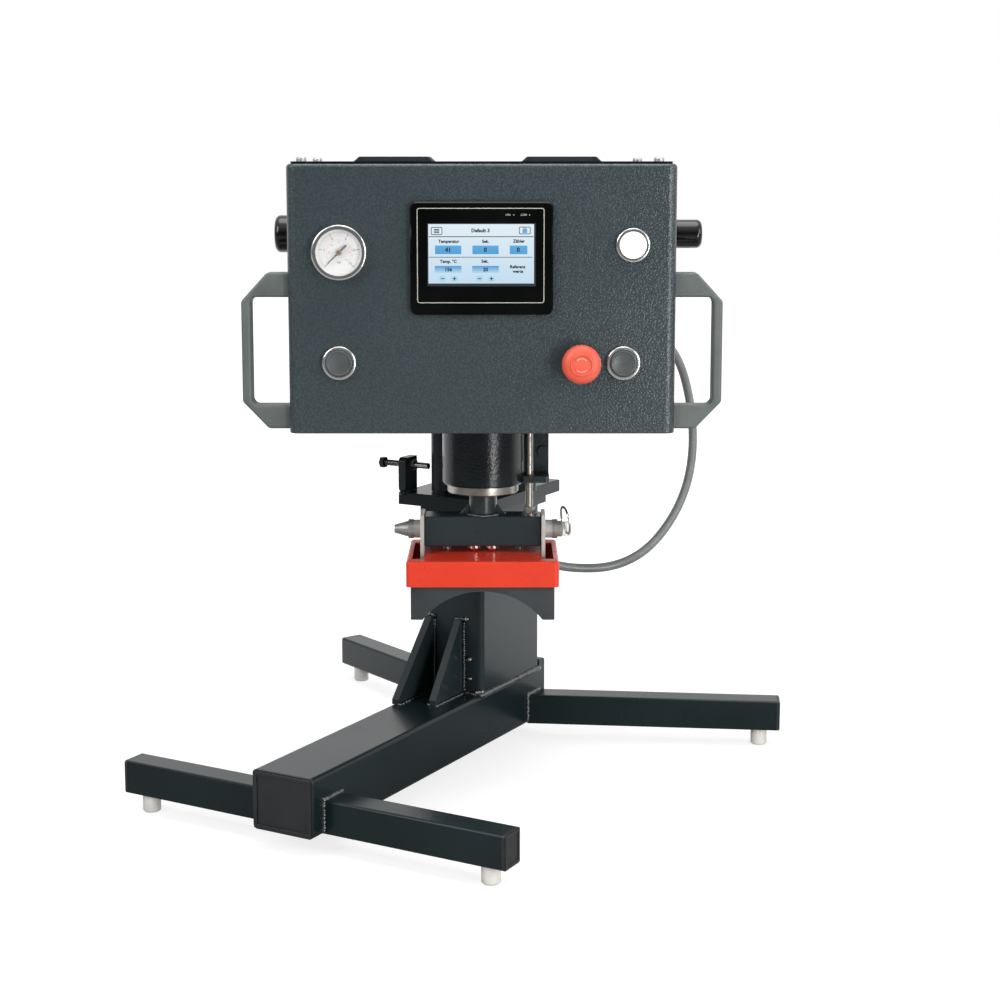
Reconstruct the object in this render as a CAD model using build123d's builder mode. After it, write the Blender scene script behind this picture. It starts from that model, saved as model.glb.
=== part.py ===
"""Pneumatic swing-head heat press on a welded steel base, with a concave platen for caps.

Millimetres. +Z is up and the control panel faces -Y. The origin lies on the bench, straight
under the axis that the head swings about. The base is turned against the head, as the head
is swung out to its stop screw.
"""
import math
import os

from build123d import *

os.makedirs("parts", exist_ok=True)

# driving dimensions of the base, along the beam's own directions
base_turn = 29.2
foot_height = 17
foot_diameter = 16.5
beam_width = 63
beam_height = 54
beam_front = -351
beam_rear = 60
beam_wall = 4
end_plate_thickness = 12
arm_width = 27
arm_height = 31
arm_wall = 2.5
front_arm_reach = {-1: 188, 1: 208}
front_arm_y = -323.5
rear_arm_splay = 23.5
rear_arm_length = 254
rear_arm_start_y = 48.5
foot_inset = 17.5
cap_thickness = 2.5

# driving dimensions of the column, the platform and the pivot
column_depth = 120
column_wall = 5
column_top = 248
flange_thickness = 12
platform_width = 104.5
platform_depth = 144.5
platform_y = -7.5
platform_thickness = 12
post_diameter = 40
washer_thickness = 2
mast_size = 104
mast_wall = 6
mast_corner = 8
mast_top = 474
bearing_height = 30
bearing_top = 440
running_gap = 0.05

# driving dimensions of the head
case_width = 340
case_front = -235
case_rear = 62
case_bottom = 357.5
case_top = 593.3
case_wall = 2
case_corner = 8
ram_y = -151
barrel_diameter = 75
bore_diameter = 63
barrel_bottom = 300
barrel_top = 430
end_cap_diameter = 66
end_cap_thickness = 8
rod_diameter = 26
carrier_bottom = 362
carrier_thickness = 10
handle_reach = 42
grip_thickness = 8.4
handle_bottom = 359.5
handle_top = 498.5

# driving dimensions of the ram and the platen
bar_length = 108
bar_size = 28
bar_bottom = 242
pin_diameter = 12
ear_thickness = 3.5
platen_width = 131.4
platen_depth = 98
platen_bottom = 180.4
platen_top = 212
platen_arc_radius = 70
platen_arc_rise = 26.5
cover_width = 139.6
cover_front = -202.4
cover_rear = -96.7
cover_bottom = 211.6
cover_top = 235.2
cover_sheet = 1.5
cable_diameter = 9

beam_bottom = foot_height
beam_top = beam_bottom + beam_height
platform_bottom = column_top + flange_thickness
platform_top = platform_bottom + platform_thickness
mast_bottom = platform_top + washer_thickness
bar_top = bar_bottom + bar_size
pin_z = bar_bottom + bar_size / 2

# the base's own directions: right along the front arms, back along the beam
base_right = Vector(1, 0, 0).rotate(Axis.Z, -base_turn)
base_back = Vector(0, 1, 0).rotate(Axis.Z, -base_turn)
base_floor = Plane(origin=(0, 0, 0), x_dir=base_right, z_dir=(0, 0, 1))


def save(part, name):
    """Label a finished piece and write its file."""
    part.label = name
    export_step(part, f"parts/{name}.step")


def base_section(x, y, z, direction):
    """A plane across a tube of the base, at base coordinates, looking along direction."""
    flat = Vector(0, 0, 1).cross(direction)
    return Plane(origin=base_floor.from_local_coords(Vector(x, y, z)), x_dir=flat, z_dir=direction)


def front_plane(y):
    """An upright plane of the head that faces the operator, at depth y."""
    return Plane(origin=(0, y, 0), x_dir=(1, 0, 0), z_dir=(0, -1, 0))


def side_plane(x):
    """An upright plane of the head that faces +X, at x; its own x runs back along +Y."""
    return Plane(origin=(x, 0, 0), x_dir=(0, 1, 0), z_dir=(1, 0, 0))


# the base beam: a rectangular steel tube on its narrow edge
with BuildPart() as base_beam:
    with BuildSketch(base_section(0, beam_rear, beam_bottom + beam_height / 2, base_back * -1)):
        RectangleRounded(beam_width, beam_height, 4)
        RectangleRounded(beam_width - 2 * beam_wall, beam_height - 2 * beam_wall, 1.5, mode=Mode.SUBTRACT)
    extrude(amount=beam_rear - beam_front)
save(base_beam.part, "base_beam")

# the steel plate that closes the beam's rear end and stands a little above it
end_plate_rise = 9
with BuildPart() as beam_end_plate:
    with BuildSketch(base_section(0, beam_rear, beam_bottom, base_right)):
        with Locations((end_plate_thickness / 2, (beam_height + end_plate_rise) / 2)):
            plate_outline = Rectangle(end_plate_thickness, beam_height + end_plate_rise)
        fillet(plate_outline.vertices().sort_by(Axis.Z)[-2:], 4.5)
    extrude(amount=beam_width / 2, both=True)
save(beam_end_plate.part, "beam_end_plate")

# the front arms: one tube welded on each side of the beam
arm_mid = beam_bottom + arm_height / 2
with BuildPart() as front_arms:
    for side in (-1, 1):
        with BuildSketch(base_section(side * beam_width / 2, front_arm_y, arm_mid, base_right * side)):
            RectangleRounded(arm_width, arm_height, 2.5)
            RectangleRounded(arm_width - 2 * arm_wall, arm_height - 2 * arm_wall, 0.8, mode=Mode.SUBTRACT)
        extrude(amount=front_arm_reach[side] - beam_width / 2)
save(front_arms.part, "front_arms")

# the rear arms: splayed backwards, mitred against the beam's sides
rear_directions = {side: (base_right * side).rotate(Axis.Z, side * rear_arm_splay) for side in (-1, 1)}
rear_meeting_y = rear_arm_start_y - beam_width / 2 * math.tan(math.radians(rear_arm_splay))


def rear_arm(side):
    """One rear arm, cut flush with the side of the beam."""
    beam_side = base_floor.from_local_coords(Vector(side * beam_width / 2, 0, 0))
    with BuildPart() as arm:
        with BuildSketch(base_section(0, rear_meeting_y, arm_mid, rear_directions[side])):
            RectangleRounded(arm_width, arm_height, 2.5)
            RectangleRounded(arm_width - 2 * arm_wall, arm_height - 2 * arm_wall, 0.8, mode=Mode.SUBTRACT)
        extrude(amount=rear_arm_length + beam_width / 2)
        split(bisect_by=Plane(origin=beam_side, z_dir=base_right * side), keep=Keep.TOP)
    return arm.part


with BuildPart() as rear_arms:
    add(rear_arm(-1))
    add(rear_arm(1))
save(rear_arms.part, "rear_arms")


def rear_point(side, along):
    """The point on a rear arm's centre line, measured along it from the beam's middle."""
    start = base_floor.from_local_coords(Vector(0, rear_meeting_y, 0))
    return start + rear_directions[side] * along


# moulded plugs in the open ends of the five tubes
with BuildPart() as tube_end_caps:
    with BuildSketch(base_section(0, beam_front, beam_bottom + beam_height / 2, base_back * -1)):
        RectangleRounded(beam_width, beam_height, 4)
    extrude(amount=cap_thickness)
    with BuildSketch(base_section(0, beam_front, beam_bottom + beam_height / 2, base_back)):
        RectangleRounded(beam_width - 2 * beam_wall - 0.4, beam_height - 2 * beam_wall - 0.4, 1.3)
    extrude(amount=12)
    for side in (-1, 1):
        tips = (
            base_section(side * front_arm_reach[side], front_arm_y, arm_mid, base_right * side),
            Plane(origin=rear_point(side, rear_arm_length + beam_width / 2) + Vector(0, 0, arm_mid),
                  x_dir=Vector(0, 0, 1).cross(rear_directions[side]), z_dir=rear_directions[side]),
        )
        for tip in tips:
            with BuildSketch(tip):
                RectangleRounded(arm_width, arm_height, 2.5)
            extrude(amount=cap_thickness)
            with BuildSketch(tip):
                RectangleRounded(arm_width - 2 * arm_wall - 0.4, arm_height - 2 * arm_wall - 0.4, 0.6)
            extrude(amount=-8)
save(tube_end_caps.part, "tube_end_caps")

# four white plastic feet, screwed up into the arms
foot_points = [
    base_floor.from_local_coords(Vector(side * (front_arm_reach[side] - foot_inset), front_arm_y, 0))
    for side in (-1, 1)
]
foot_points += [rear_point(side, rear_arm_length + beam_width / 2 - foot_inset) for side in (-1, 1)]
with BuildPart() as feet:
    with Locations(*foot_points):
        Cylinder(foot_diameter / 2, foot_height, align=(Align.CENTER, Align.CENTER, Align.MIN))
    chamfer(feet.edges().filter_by(GeomType.CIRCLE).group_by(Axis.Z)[0], 1)
save(feet.part, "feet")

# the column: a heavy tube as wide as the beam, with a flange plate welded on its top
with BuildPart() as column:
    with BuildSketch(base_floor.offset(beam_top)):
        RectangleRounded(beam_width, column_depth, 5)
        RectangleRounded(beam_width - 2 * column_wall, column_depth - 2 * column_wall, 2, mode=Mode.SUBTRACT)
    extrude(amount=column_top - beam_top)
    with BuildSketch(base_floor.offset(column_top)):
        RectangleRounded(beam_width + 14, column_depth + 8, 4)
    extrude(amount=flange_thickness)
save(column.part, "column")

# two triangular gussets between the beam and the column's front; the left one has a longer foot
gusset_thickness = 7.5
gusset_height = 75
gusset_feet = {-beam_width / 2 + gusset_thickness / 2 + 0.5: 68, 6.5: 54}
with BuildPart() as gussets:
    for gusset_x, foot_length in gusset_feet.items():
        with BuildSketch(base_section(gusset_x, -column_depth / 2, beam_top, base_right)):
            with BuildLine():
                Polyline((0, 0), (-foot_length, 0), (-foot_length, 5), (-5, gusset_height), (0, gusset_height),
                         close=True)
            make_face()
        extrude(amount=gusset_thickness / 2, both=True)
save(gussets.part, "gussets")

# the platform plate that the head turns on
with BuildPart() as platform:
    with BuildSketch(base_floor.offset(platform_bottom)):
        with Locations((0, platform_y)):
            Rectangle(platform_width, platform_depth)
    extrude(amount=platform_thickness)
    chamfer(platform.edges().group_by(Axis.Z)[-1], 0.8)
save(platform.part, "platform")

# the turned pivot post, welded on the platform
with BuildPart() as pivot_post:
    with BuildSketch(Plane.XY.offset(platform_top)):
        Circle(post_diameter / 2)
    extrude(amount=bearing_top + 0.3 - platform_top)
    with Locations((0, 0, bearing_top + 0.3)):
        Hole(6.1, depth=40)
save(pivot_post.part, "pivot_post")

# the keeper on top of the post: a washer and its bolt
with BuildPart() as post_retainer:
    with BuildSketch(Plane.XY.offset(bearing_top + 0.3)):
        Circle(30)
        Circle(6.1, mode=Mode.SUBTRACT)
    extrude(amount=5)
    with BuildSketch(Plane.XY.offset(bearing_top + 5.3)):
        RegularPolygon(9.5, 6, major_radius=False)
    extrude(amount=7.5)
    with BuildSketch(Plane.XY.offset(bearing_top + 5.3)):
        Circle(6)
    extrude(amount=-35)
save(post_retainer.part, "post_retainer")

# the swing stop: a lug on the platform's left front corner and the screw through it
stop_z = platform_top + 26.5
stop_y = -68
lug_thickness = 8
lug_depth = 22
lug_x = -platform_width / 2 + lug_thickness
stop_tip_x = -24.4
stop_shank = 50.5
with BuildPart() as stop_lug:
    with BuildSketch(base_section(lug_x, -platform_depth / 2 + platform_y + lug_depth / 2, platform_top,
                                  base_right * -1)):
        with Locations((0, 34.5 / 2)):
            lug_outline = Rectangle(lug_depth, 34.5)
        fillet(lug_outline.vertices().sort_by(Axis.Z)[-2:], 5)
    extrude(amount=lug_thickness)
    with Locations(base_section(lug_x, stop_y, stop_z, base_right)):
        Hole(3.05)
save(stop_lug.part, "stop_lug")

with BuildPart() as stop_screw:
    with BuildSketch(base_section(stop_tip_x, stop_y, stop_z, base_right * -1)):
        Circle(3)
    extrude(amount=stop_shank)
    with BuildSketch(base_section(stop_tip_x - stop_shank, stop_y, stop_z, base_right * -1)):
        RegularPolygon(5, 6, major_radius=False)
    extrude(amount=4.5)
    for nut_x in (lug_x + 4.6, lug_x - lug_thickness):
        with BuildSketch(base_section(nut_x, stop_y, stop_z, base_right * -1)):
            RegularPolygon(5, 6, major_radius=False)
            Circle(3.02, mode=Mode.SUBTRACT)
        extrude(amount=4.6)
save(stop_screw.part, "stop_screw")

# the mast: a square tube with two welded bearing blocks, which turns round the post
with BuildPart() as mast:
    with BuildSketch(Plane.XY.offset(mast_bottom)):
        RectangleRounded(mast_size, mast_size, mast_corner)
        RectangleRounded(mast_size - 2 * mast_wall, mast_size - 2 * mast_wall, 2, mode=Mode.SUBTRACT)
    extrude(amount=mast_top - mast_bottom)
    for block_bottom in (mast_bottom, bearing_top - bearing_height):
        with BuildSketch(Plane.XY.offset(block_bottom)):
            RectangleRounded(mast_size - 2 * mast_wall, mast_size - 2 * mast_wall, 2)
            Circle(24, mode=Mode.SUBTRACT)
        extrude(amount=bearing_height)
save(mast.part, "mast")

# the bronze bushes: the lower one has a flange that carries the head's weight
with BuildPart() as pivot_bushes:
    for block_bottom in (mast_bottom, bearing_top - bearing_height):
        with BuildSketch(Plane.XY.offset(block_bottom)):
            Circle(23.97)
        extrude(amount=bearing_height)
    with BuildSketch(Plane.XY.offset(mast_bottom)):
        Circle(40)
    extrude(amount=running_gap - washer_thickness)
    with BuildSketch(Plane.XY.offset(platform_top)):
        Circle(post_diameter / 2 + running_gap)
    extrude(amount=bearing_top - platform_top, mode=Mode.SUBTRACT)
save(pivot_bushes.part, "pivot_bushes")

# the carrier plate, welded to the mast's front, that holds the cylinder
carrier_front = -196
with BuildPart() as carrier_plate:
    with BuildSketch(Plane.XY.offset(carrier_bottom)):
        with Locations((0, (carrier_front - mast_size / 2) / 2)):
            RectangleRounded(120, -carrier_front - mast_size / 2, 6)
        with Locations((0, ram_y)):
            Circle(barrel_diameter / 2 + running_gap, mode=Mode.SUBTRACT)
    extrude(amount=carrier_thickness)
save(carrier_plate.part, "carrier_plate")

# the air cylinder: barrel, bare steel end cap below and cap above
with BuildPart() as cylinder_barrel:
    with BuildSketch(Plane.XY.offset(barrel_bottom)):
        with Locations((0, ram_y)):
            Circle(barrel_diameter / 2)
            Circle(bore_diameter / 2, mode=Mode.SUBTRACT)
    extrude(amount=barrel_top - barrel_bottom)
    chamfer(cylinder_barrel.edges().group_by(Axis.Z)[0].sort_by(SortBy.RADIUS)[-1], 1.2)
save(cylinder_barrel.part, "cylinder_barrel")

with BuildPart() as cylinder_caps:
    with BuildSketch(Plane.XY.offset(barrel_bottom)):
        with Locations((0, ram_y)):
            Circle(end_cap_diameter / 2)
    extrude(amount=-end_cap_thickness)
    chamfer(cylinder_caps.edges().group_by(Axis.Z)[0], 0.8)
    with BuildSketch(Plane.XY.offset(barrel_bottom)):
        with Locations((0, ram_y)):
            Circle(bore_diameter / 2 - running_gap)
    extrude(amount=8)
    with BuildSketch(Plane.XY.offset(barrel_bottom - end_cap_thickness)):
        with Locations((0, ram_y)):
            Circle(rod_diameter / 2 + running_gap)
    extrude(amount=end_cap_thickness + 8, mode=Mode.SUBTRACT)
    with BuildSketch(Plane.XY.offset(barrel_top)):
        with Locations((0, ram_y)):
            Circle(barrel_diameter / 2)
    extrude(amount=12)
    with BuildSketch(Plane.XY.offset(barrel_top)):
        with Locations((0, ram_y)):
            Circle(bore_diameter / 2 - running_gap)
    extrude(amount=-8)
    with BuildSketch(Plane.XY.offset(barrel_top - 8)):
        with Locations((0, ram_y)):
            Circle(4.4)
    extrude(amount=20, mode=Mode.SUBTRACT)
save(cylinder_caps.part, "cylinder_caps")

# the bracket that guides the ram's rod: upright plate, lug, and its bolt
guide_x = 43
guide_rod_radius = 3.75
lug_z = 301
with BuildPart() as guide_bracket:
    with BuildSketch(front_plane(-134)):
        with Locations((54.5, (lug_z + case_bottom) / 2)):
            Rectangle(14, case_bottom - lug_z)
    extrude(amount=-5)
    with BuildSketch(Plane.XY.offset(lug_z)):
        with Locations(((35.5 + 61.5) / 2, -147.5)):
            RectangleRounded(26, 27, 3)
        with Locations((guide_x, ram_y)):
            Circle(4.7, mode=Mode.SUBTRACT)
        with Locations((0, ram_y)):
            Circle(barrel_diameter / 2, mode=Mode.SUBTRACT)
    extrude(amount=6)
    with BuildSketch(front_plane(-129)):
        with Locations((54.5, 337)):
            Rectangle(14, 41)
    extrude(amount=-12)
    with BuildSketch(front_plane(-134)):
        with Locations((56, 327)):
            RegularPolygon(4.5, 6, major_radius=False)
    extrude(amount=4)
save(guide_bracket.part, "guide_bracket")

with BuildPart() as guide_bush:
    with BuildSketch(Plane.XY.offset(lug_z - 1)):
        with Locations((guide_x, ram_y)):
            Circle(4.68)
            Circle(guide_rod_radius + running_gap, mode=Mode.SUBTRACT)
    extrude(amount=8)
save(guide_bush.part, "guide_bush")

# where each control sits on the front panel, as x and z
gauge_at = (-124, 516.8)
screen_at = (0, 511.8)
left_button_at = (-125, 420.2)
right_button_at = (124, 420.2)
estop_at = (86.6, 420.6)
lamp_at = (131.5, 523.2)
knob_y = -150
knob_z = 530
gauge_body_radius = 20
gauge_rim_radius = 24.2
button_hole_radius = 11.2
screen_cutout = (117, 91)
handle_bolt_zs = (handle_bottom + 11, handle_top - 11)
handle_y = -215
lid_screw_points = [(-158, -215), (155, -215), (-157, -80), (146, -80)]
case_depth = case_rear - case_front
case_mid_y = (case_front + case_rear) / 2
case_mid_z = (case_bottom + case_top) / 2

# the painted sheet case: front, sides and top rim in one bent shell
with BuildPart() as case_shell:
    with BuildSketch(Plane.XY.offset(case_bottom)):
        with Locations((0, case_mid_y)):
            Rectangle(case_width, case_depth)
    extrude(amount=case_top - case_bottom)
    front_corners = case_shell.edges().filter_by(Axis.Z).group_by(Axis.Y)[0]
    fillet(front_corners, case_corner)
    top_edges = case_shell.faces().sort_by(Axis.Z)[-1].edges()
    fillet(top_edges.sort_by(Axis.Y)[:-1], 3.5)
    offset(amount=-case_wall, openings=[case_shell.faces().sort_by(Axis.Z)[0],
                                        case_shell.faces().sort_by(Axis.Y)[-1]])
    bottom_front = case_shell.edges().group_by(Axis.Z)[0].sort_by(Axis.Y)[0]
    fillet(bottom_front, 1.2)
    with BuildSketch(front_plane(case_front)):
        with Locations(gauge_at):
            Circle(gauge_body_radius + 0.2)
        with Locations(screen_at):
            Rectangle(*screen_cutout)
        with Locations(left_button_at, right_button_at, estop_at, lamp_at):
            Circle(button_hole_radius)
    extrude(amount=-case_wall, mode=Mode.SUBTRACT)
    with BuildSketch(side_plane(-case_width / 2)):
        with Locations((knob_y, knob_z)):
            Circle(5.2)
        with Locations(*[(handle_y, z) for z in handle_bolt_zs]):
            Circle(2.6)
    extrude(amount=case_width, mode=Mode.SUBTRACT)
    with BuildSketch(Plane.XY.offset(case_top - case_wall)):
        with Locations((0, case_mid_y)):
            Rectangle(case_width - 60, case_depth - 60)
        with Locations(*lid_screw_points):
            Circle(2.1)
    extrude(amount=case_wall, mode=Mode.SUBTRACT)
save(case_shell.part, "case_shell")

# the lid: a flat plate with two low raised panels, held by four screws
lid_thickness = 2
with BuildPart() as case_lid:
    with BuildSketch(Plane.XY.offset(case_top)):
        with Locations((0, case_mid_y)):
            RectangleRounded(case_width - 8, case_depth - 8, 4)
        with Locations(*lid_screw_points):
            Circle(2.1, mode=Mode.SUBTRACT)
    extrude(amount=lid_thickness)
    with BuildSketch(Plane.XY.offset(case_top + lid_thickness)):
        with Locations((-84, -60), (74, -60)):
            RectangleRounded(76, 96, 12)
    extrude(amount=5, taper=48)
save(case_lid.part, "case_lid")

with BuildPart() as lid_screws:
    with Locations(*[(x, y, case_top + lid_thickness) for x, y in lid_screw_points]):
        Cylinder(4.5, 4, align=(Align.CENTER, Align.CENTER, Align.MIN))
        Cylinder(2, 8, align=(Align.CENTER, Align.CENTER, Align.MAX))
    fillet(lid_screws.edges().group_by(Axis.Z)[-1], 1.8)
save(lid_screws.part, "lid_screws")

# the rear panel, with openings for the cable gland, the air fitting and the mains socket
cable_gland_at = (118, 428)
air_inlet_at = (-122, 430)
power_inlet_at = (-74, 425)
with BuildPart() as rear_panel:
    with BuildSketch(Plane(origin=(0, case_rear, 0), x_dir=(-1, 0, 0), z_dir=(0, 1, 0))):
        with Locations((0, case_mid_z)):
            RectangleRounded(case_width, case_top - case_bottom, 3)
        with Locations((-cable_gland_at[0], cable_gland_at[1]), (-air_inlet_at[0], air_inlet_at[1])):
            Circle(6.1, mode=Mode.SUBTRACT)
        with Locations((-power_inlet_at[0], power_inlet_at[1])):
            Rectangle(28, 20.4, mode=Mode.SUBTRACT)
    extrude(amount=2)
save(rear_panel.part, "rear_panel")

# the floor of the case, cut out round the mast, the cylinder and the guide bracket
with BuildPart() as case_floor:
    with BuildSketch(Plane.XY.offset(carrier_bottom - 2)):
        with Locations((0, case_mid_y)):
            RectangleRounded(case_width - 2 * case_wall, case_depth - 2 * case_wall, 6.5)
        Rectangle(mast_size + 1, mast_size + 1, mode=Mode.SUBTRACT)
        with Locations((0, ram_y)):
            Circle(barrel_diameter / 2 + 0.5, mode=Mode.SUBTRACT)
    extrude(amount=2)
save(case_floor.part, "case_floor")


def panel_ring(outer, inner, front, rear, at):
    """A ring on the front panel between two depths; inner 0 makes it a disc."""
    with BuildPart() as ring:
        with BuildSketch(front_plane(front)):
            with Locations(at):
                Circle(outer)
                if inner:
                    Circle(inner, mode=Mode.SUBTRACT)
        extrude(amount=front - rear)
    return ring.part


# the pressure gauge: chromed rim and cup, with a flat seat for the dial
with BuildPart() as gauge_housing:
    add(panel_ring(gauge_rim_radius, 20.2, case_front - 7, case_front - 1, gauge_at))
    add(panel_ring(gauge_rim_radius, 0, case_front - 1, case_front, gauge_at))
    add(panel_ring(gauge_body_radius, 0, case_front, case_front + 30, gauge_at))
    fillet(gauge_housing.edges().group_by(Axis.Y)[0].sort_by(SortBy.RADIUS)[-1], 1.6)
    with Locations(front_plane(case_front - 1)):
        with Locations(gauge_at):
            Hole(1, depth=15)
save(gauge_housing.part, "gauge_housing")

with BuildPart() as gauge_dial:
    add(panel_ring(20.15, 1, case_front - 2, case_front - 1, gauge_at))
save(gauge_dial.part, "gauge_dial")

# the needle rests at zero, low on the left, with a short wide tail
needle_angle = 225
needle_along = Vector(math.cos(math.radians(needle_angle)), 0, math.sin(math.radians(needle_angle)))
needle_plane = Plane(origin=(gauge_at[0], case_front - 4, gauge_at[1]), x_dir=needle_along, z_dir=(0, -1, 0))
with BuildPart() as gauge_needle:
    with BuildSketch(needle_plane):
        Circle(2.6)
        with BuildLine():
            Polyline((-9, -1.2), (0, -0.9), (15.5, -0.25), (15.5, 0.25), (0, 0.9), (-9, 1.2), close=True)
        make_face()
    extrude(amount=0.8)
    with BuildSketch(needle_plane):
        Circle(0.9)
    extrude(amount=-12)
save(gauge_needle.part, "gauge_needle")

# the touch panel: a moulded bezel with a shallow seat for the display
panel_width = 124.3
panel_height = 98
display_at = (-0.1, 515)
display_size = (94.3, 54.7)
with BuildPart() as touch_panel:
    with BuildSketch(front_plane(case_front)):
        with Locations(screen_at):
            RectangleRounded(panel_width, panel_height, 6)
    extrude(amount=6)
    chamfer(touch_panel.faces().sort_by(Axis.Y)[0].edges(), 1.2)
    with BuildSketch(front_plane(case_front)):
        with Locations(screen_at):
            Rectangle(screen_cutout[0] - 0.6, screen_cutout[1] - 0.6)
    extrude(amount=-28)
    with BuildSketch(front_plane(case_front - 6)):
        with Locations(display_at):
            Rectangle(*display_size)
    extrude(amount=-1.2, mode=Mode.SUBTRACT)
save(touch_panel.part, "touch_panel")

with BuildPart() as touch_screen:
    with BuildSketch(front_plane(case_front - 4.8)):
        with Locations(display_at):
            Rectangle(display_size[0] - 0.1, display_size[1] - 0.1)
    extrude(amount=1)
save(touch_screen.part, "touch_screen")

# the push buttons: chromed rims in front, switch bodies behind the panel
with BuildPart() as button_bezels:
    for at in (left_button_at, right_button_at, lamp_at):
        add(panel_ring(15, 12.2, case_front - 4, case_front, at))
    rim_edges = button_bezels.edges().group_by(Axis.Y)[0].filter_by(lambda edge: edge.radius > 13)
    fillet(rim_edges, 1.5)
save(button_bezels.part, "button_bezels")

with BuildPart() as switch_bodies:
    for at in (left_button_at, right_button_at, lamp_at):
        add(panel_ring(11, 5.35, case_front, case_front + 38, at))
        add(panel_ring(14, 11, case_front + case_wall, case_front + case_wall + 5, at))
    add(panel_ring(15, 8.4, case_front - 5, case_front, estop_at))
    add(panel_ring(11, 8.4, case_front, case_front + 8, estop_at))
    add(panel_ring(11, 5.35, case_front + 8, case_front + 38, estop_at))
    add(panel_ring(14, 11, case_front + case_wall, case_front + case_wall + 5, estop_at))
save(switch_bodies.part, "switch_bodies")


def button_cap(at):
    """A dished cap on a stem that slides in its switch body."""
    with BuildPart() as cap:
        add(panel_ring(11.7, 0, case_front - 4.8, case_front - 2.2, at))
        add(panel_ring(5, 0, case_front - 2.2, case_front + 20, at))
        with Locations((at[0], case_front - 4.8 - 38.8, at[1])):
            Sphere(40, mode=Mode.SUBTRACT)
    return cap.part


save(button_cap(left_button_at), "start_button_left")
save(button_cap(right_button_at), "start_button_right")
save(button_cap(lamp_at), "lamp_button")

# the emergency stop: a domed mushroom head on a neck and a stem
with BuildPart() as estop_mushroom:
    add(panel_ring(5, 0, case_front, case_front + 20, estop_at))
    add(panel_ring(8, 0, case_front - 14, case_front, estop_at))
    add(panel_ring(17, 0, case_front - 25, case_front - 14, estop_at))
    fillet(estop_mushroom.edges().group_by(Axis.Y)[0], 7)
    chamfer(estop_mushroom.edges().filter_by(lambda edge: edge.geom_type == GeomType.CIRCLE
                                             and edge.radius > 16).sort_by(Axis.Y)[-1], 1.5)
save(estop_mushroom.part, "estop_mushroom")

# pressure regulator and flow valve inside the case, with their noses through its sides
with BuildPart() as regulator_bodies:
    for side in (-1, 1):
        with BuildSketch(side_plane(side * (case_width / 2 - case_wall))):
            with Locations((knob_y, knob_z)):
                RectangleRounded(38, 38, 4)
        extrude(amount=-side * 42)
        with BuildSketch(side_plane(side * (case_width / 2 - case_wall))):
            with Locations((knob_y, knob_z)):
                Circle(5.15)
        extrude(amount=side * 3.4)
        with BuildSketch(side_plane(side * (case_width / 2 + 1.4))):
            with Locations((knob_y, knob_z)):
                Circle(3.05)
        extrude(amount=-side * 30, mode=Mode.SUBTRACT)
save(regulator_bodies.part, "regulator_bodies")


def side_knob(side, radius, length, name):
    """A smooth knob that stands out from the side of the case, with a collar and its spindle."""
    base_x = side * (case_width / 2 + 2)
    with BuildPart() as knob:
        with BuildSketch(side_plane(base_x)):
            with Locations((knob_y, knob_z)):
                Circle(radius)
        extrude(amount=side * length)
        outer_rim = knob.edges().filter_by(GeomType.CIRCLE).sort_by(Axis.X)[-1 if side > 0 else 0]
        fillet(outer_rim, 5)
        with BuildSketch(side_plane(base_x)):
            with Locations((knob_y, knob_z)):
                Circle(radius)
                Circle(radius - 1, mode=Mode.SUBTRACT)
        extrude(amount=side * 5, mode=Mode.SUBTRACT)
        with BuildSketch(side_plane(base_x)):
            with Locations((knob_y, knob_z)):
                Circle(3)
        extrude(amount=-side * 24)
    save(knob.part, name)


side_knob(-1, 17, 17, "regulator_knob")
side_knob(1, 13, 28, "flow_knob")


def handle(side, name):
    """A moulded bow handle on one side of the case, near its front."""
    wall = side * case_width / 2
    tip = wall + side * handle_reach
    grip = wall + side * (handle_reach - grip_thickness)
    with BuildPart() as bow:
        with BuildSketch(front_plane(handle_y - 10)):
            with BuildLine():
                Polyline((wall, handle_bottom + 1), (wall + side * 19, handle_bottom + 1),
                         (tip, handle_bottom + 25), (tip, handle_top - 25),
                         (wall + side * 19, handle_top), (wall, handle_top), (wall, handle_top - 21.5),
                         (grip - side * 3, handle_top - 21.5), (grip, handle_top - 25),
                         (grip, handle_bottom + 26), (grip - side * 3, handle_bottom + 22.3),
                         (wall, handle_bottom + 22.3), close=True)
            make_face()
        extrude(amount=-20)
        outer_corners = bow.edges().filter_by(Axis.Y).filter_by(lambda edge: abs(edge.center().X) > 186)
        fillet(outer_corners, 5)
        front_and_back = bow.edges().group_by(Axis.Y)[0] + bow.edges().group_by(Axis.Y)[-1]
        fillet(front_and_back.filter_by(lambda edge: abs(edge.center().X) > 170.5), 2.5)
        with BuildSketch(side_plane(wall)):
            with Locations(*[(handle_y, z) for z in handle_bolt_zs]):
                Circle(2.52)
        extrude(amount=side * 12, mode=Mode.SUBTRACT)
    save(bow.part, name)


handle(-1, "handle_left")
handle(1, "handle_right")

with BuildPart() as handle_screws:
    for side in (-1, 1):
        with BuildSketch(side_plane(side * (case_width / 2 - case_wall))):
            with Locations(*[(handle_y, z) for z in handle_bolt_zs]):
                Circle(2.48)
        extrude(amount=side * 13)
        with BuildSketch(side_plane(side * (case_width / 2 - case_wall))):
            with Locations(*[(handle_y, z) for z in handle_bolt_zs]):
                Circle(4.5)
        extrude(amount=-side * 3)
save(handle_screws.part, "handle_screws")


def rear_plane(y):
    """An upright plane at depth y that faces backwards; its own x runs along -X."""
    return Plane(origin=(0, y, 0), x_dir=(-1, 0, 0), z_dir=(0, 1, 0))


def rear_disc(radius, front, rear, at):
    """A disc that faces backwards, between two depths."""
    with BuildPart() as disc:
        with BuildSketch(rear_plane(front)):
            with Locations((-at[0], at[1])):
                Circle(radius)
        extrude(amount=rear - front)
    return disc.part


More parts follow.
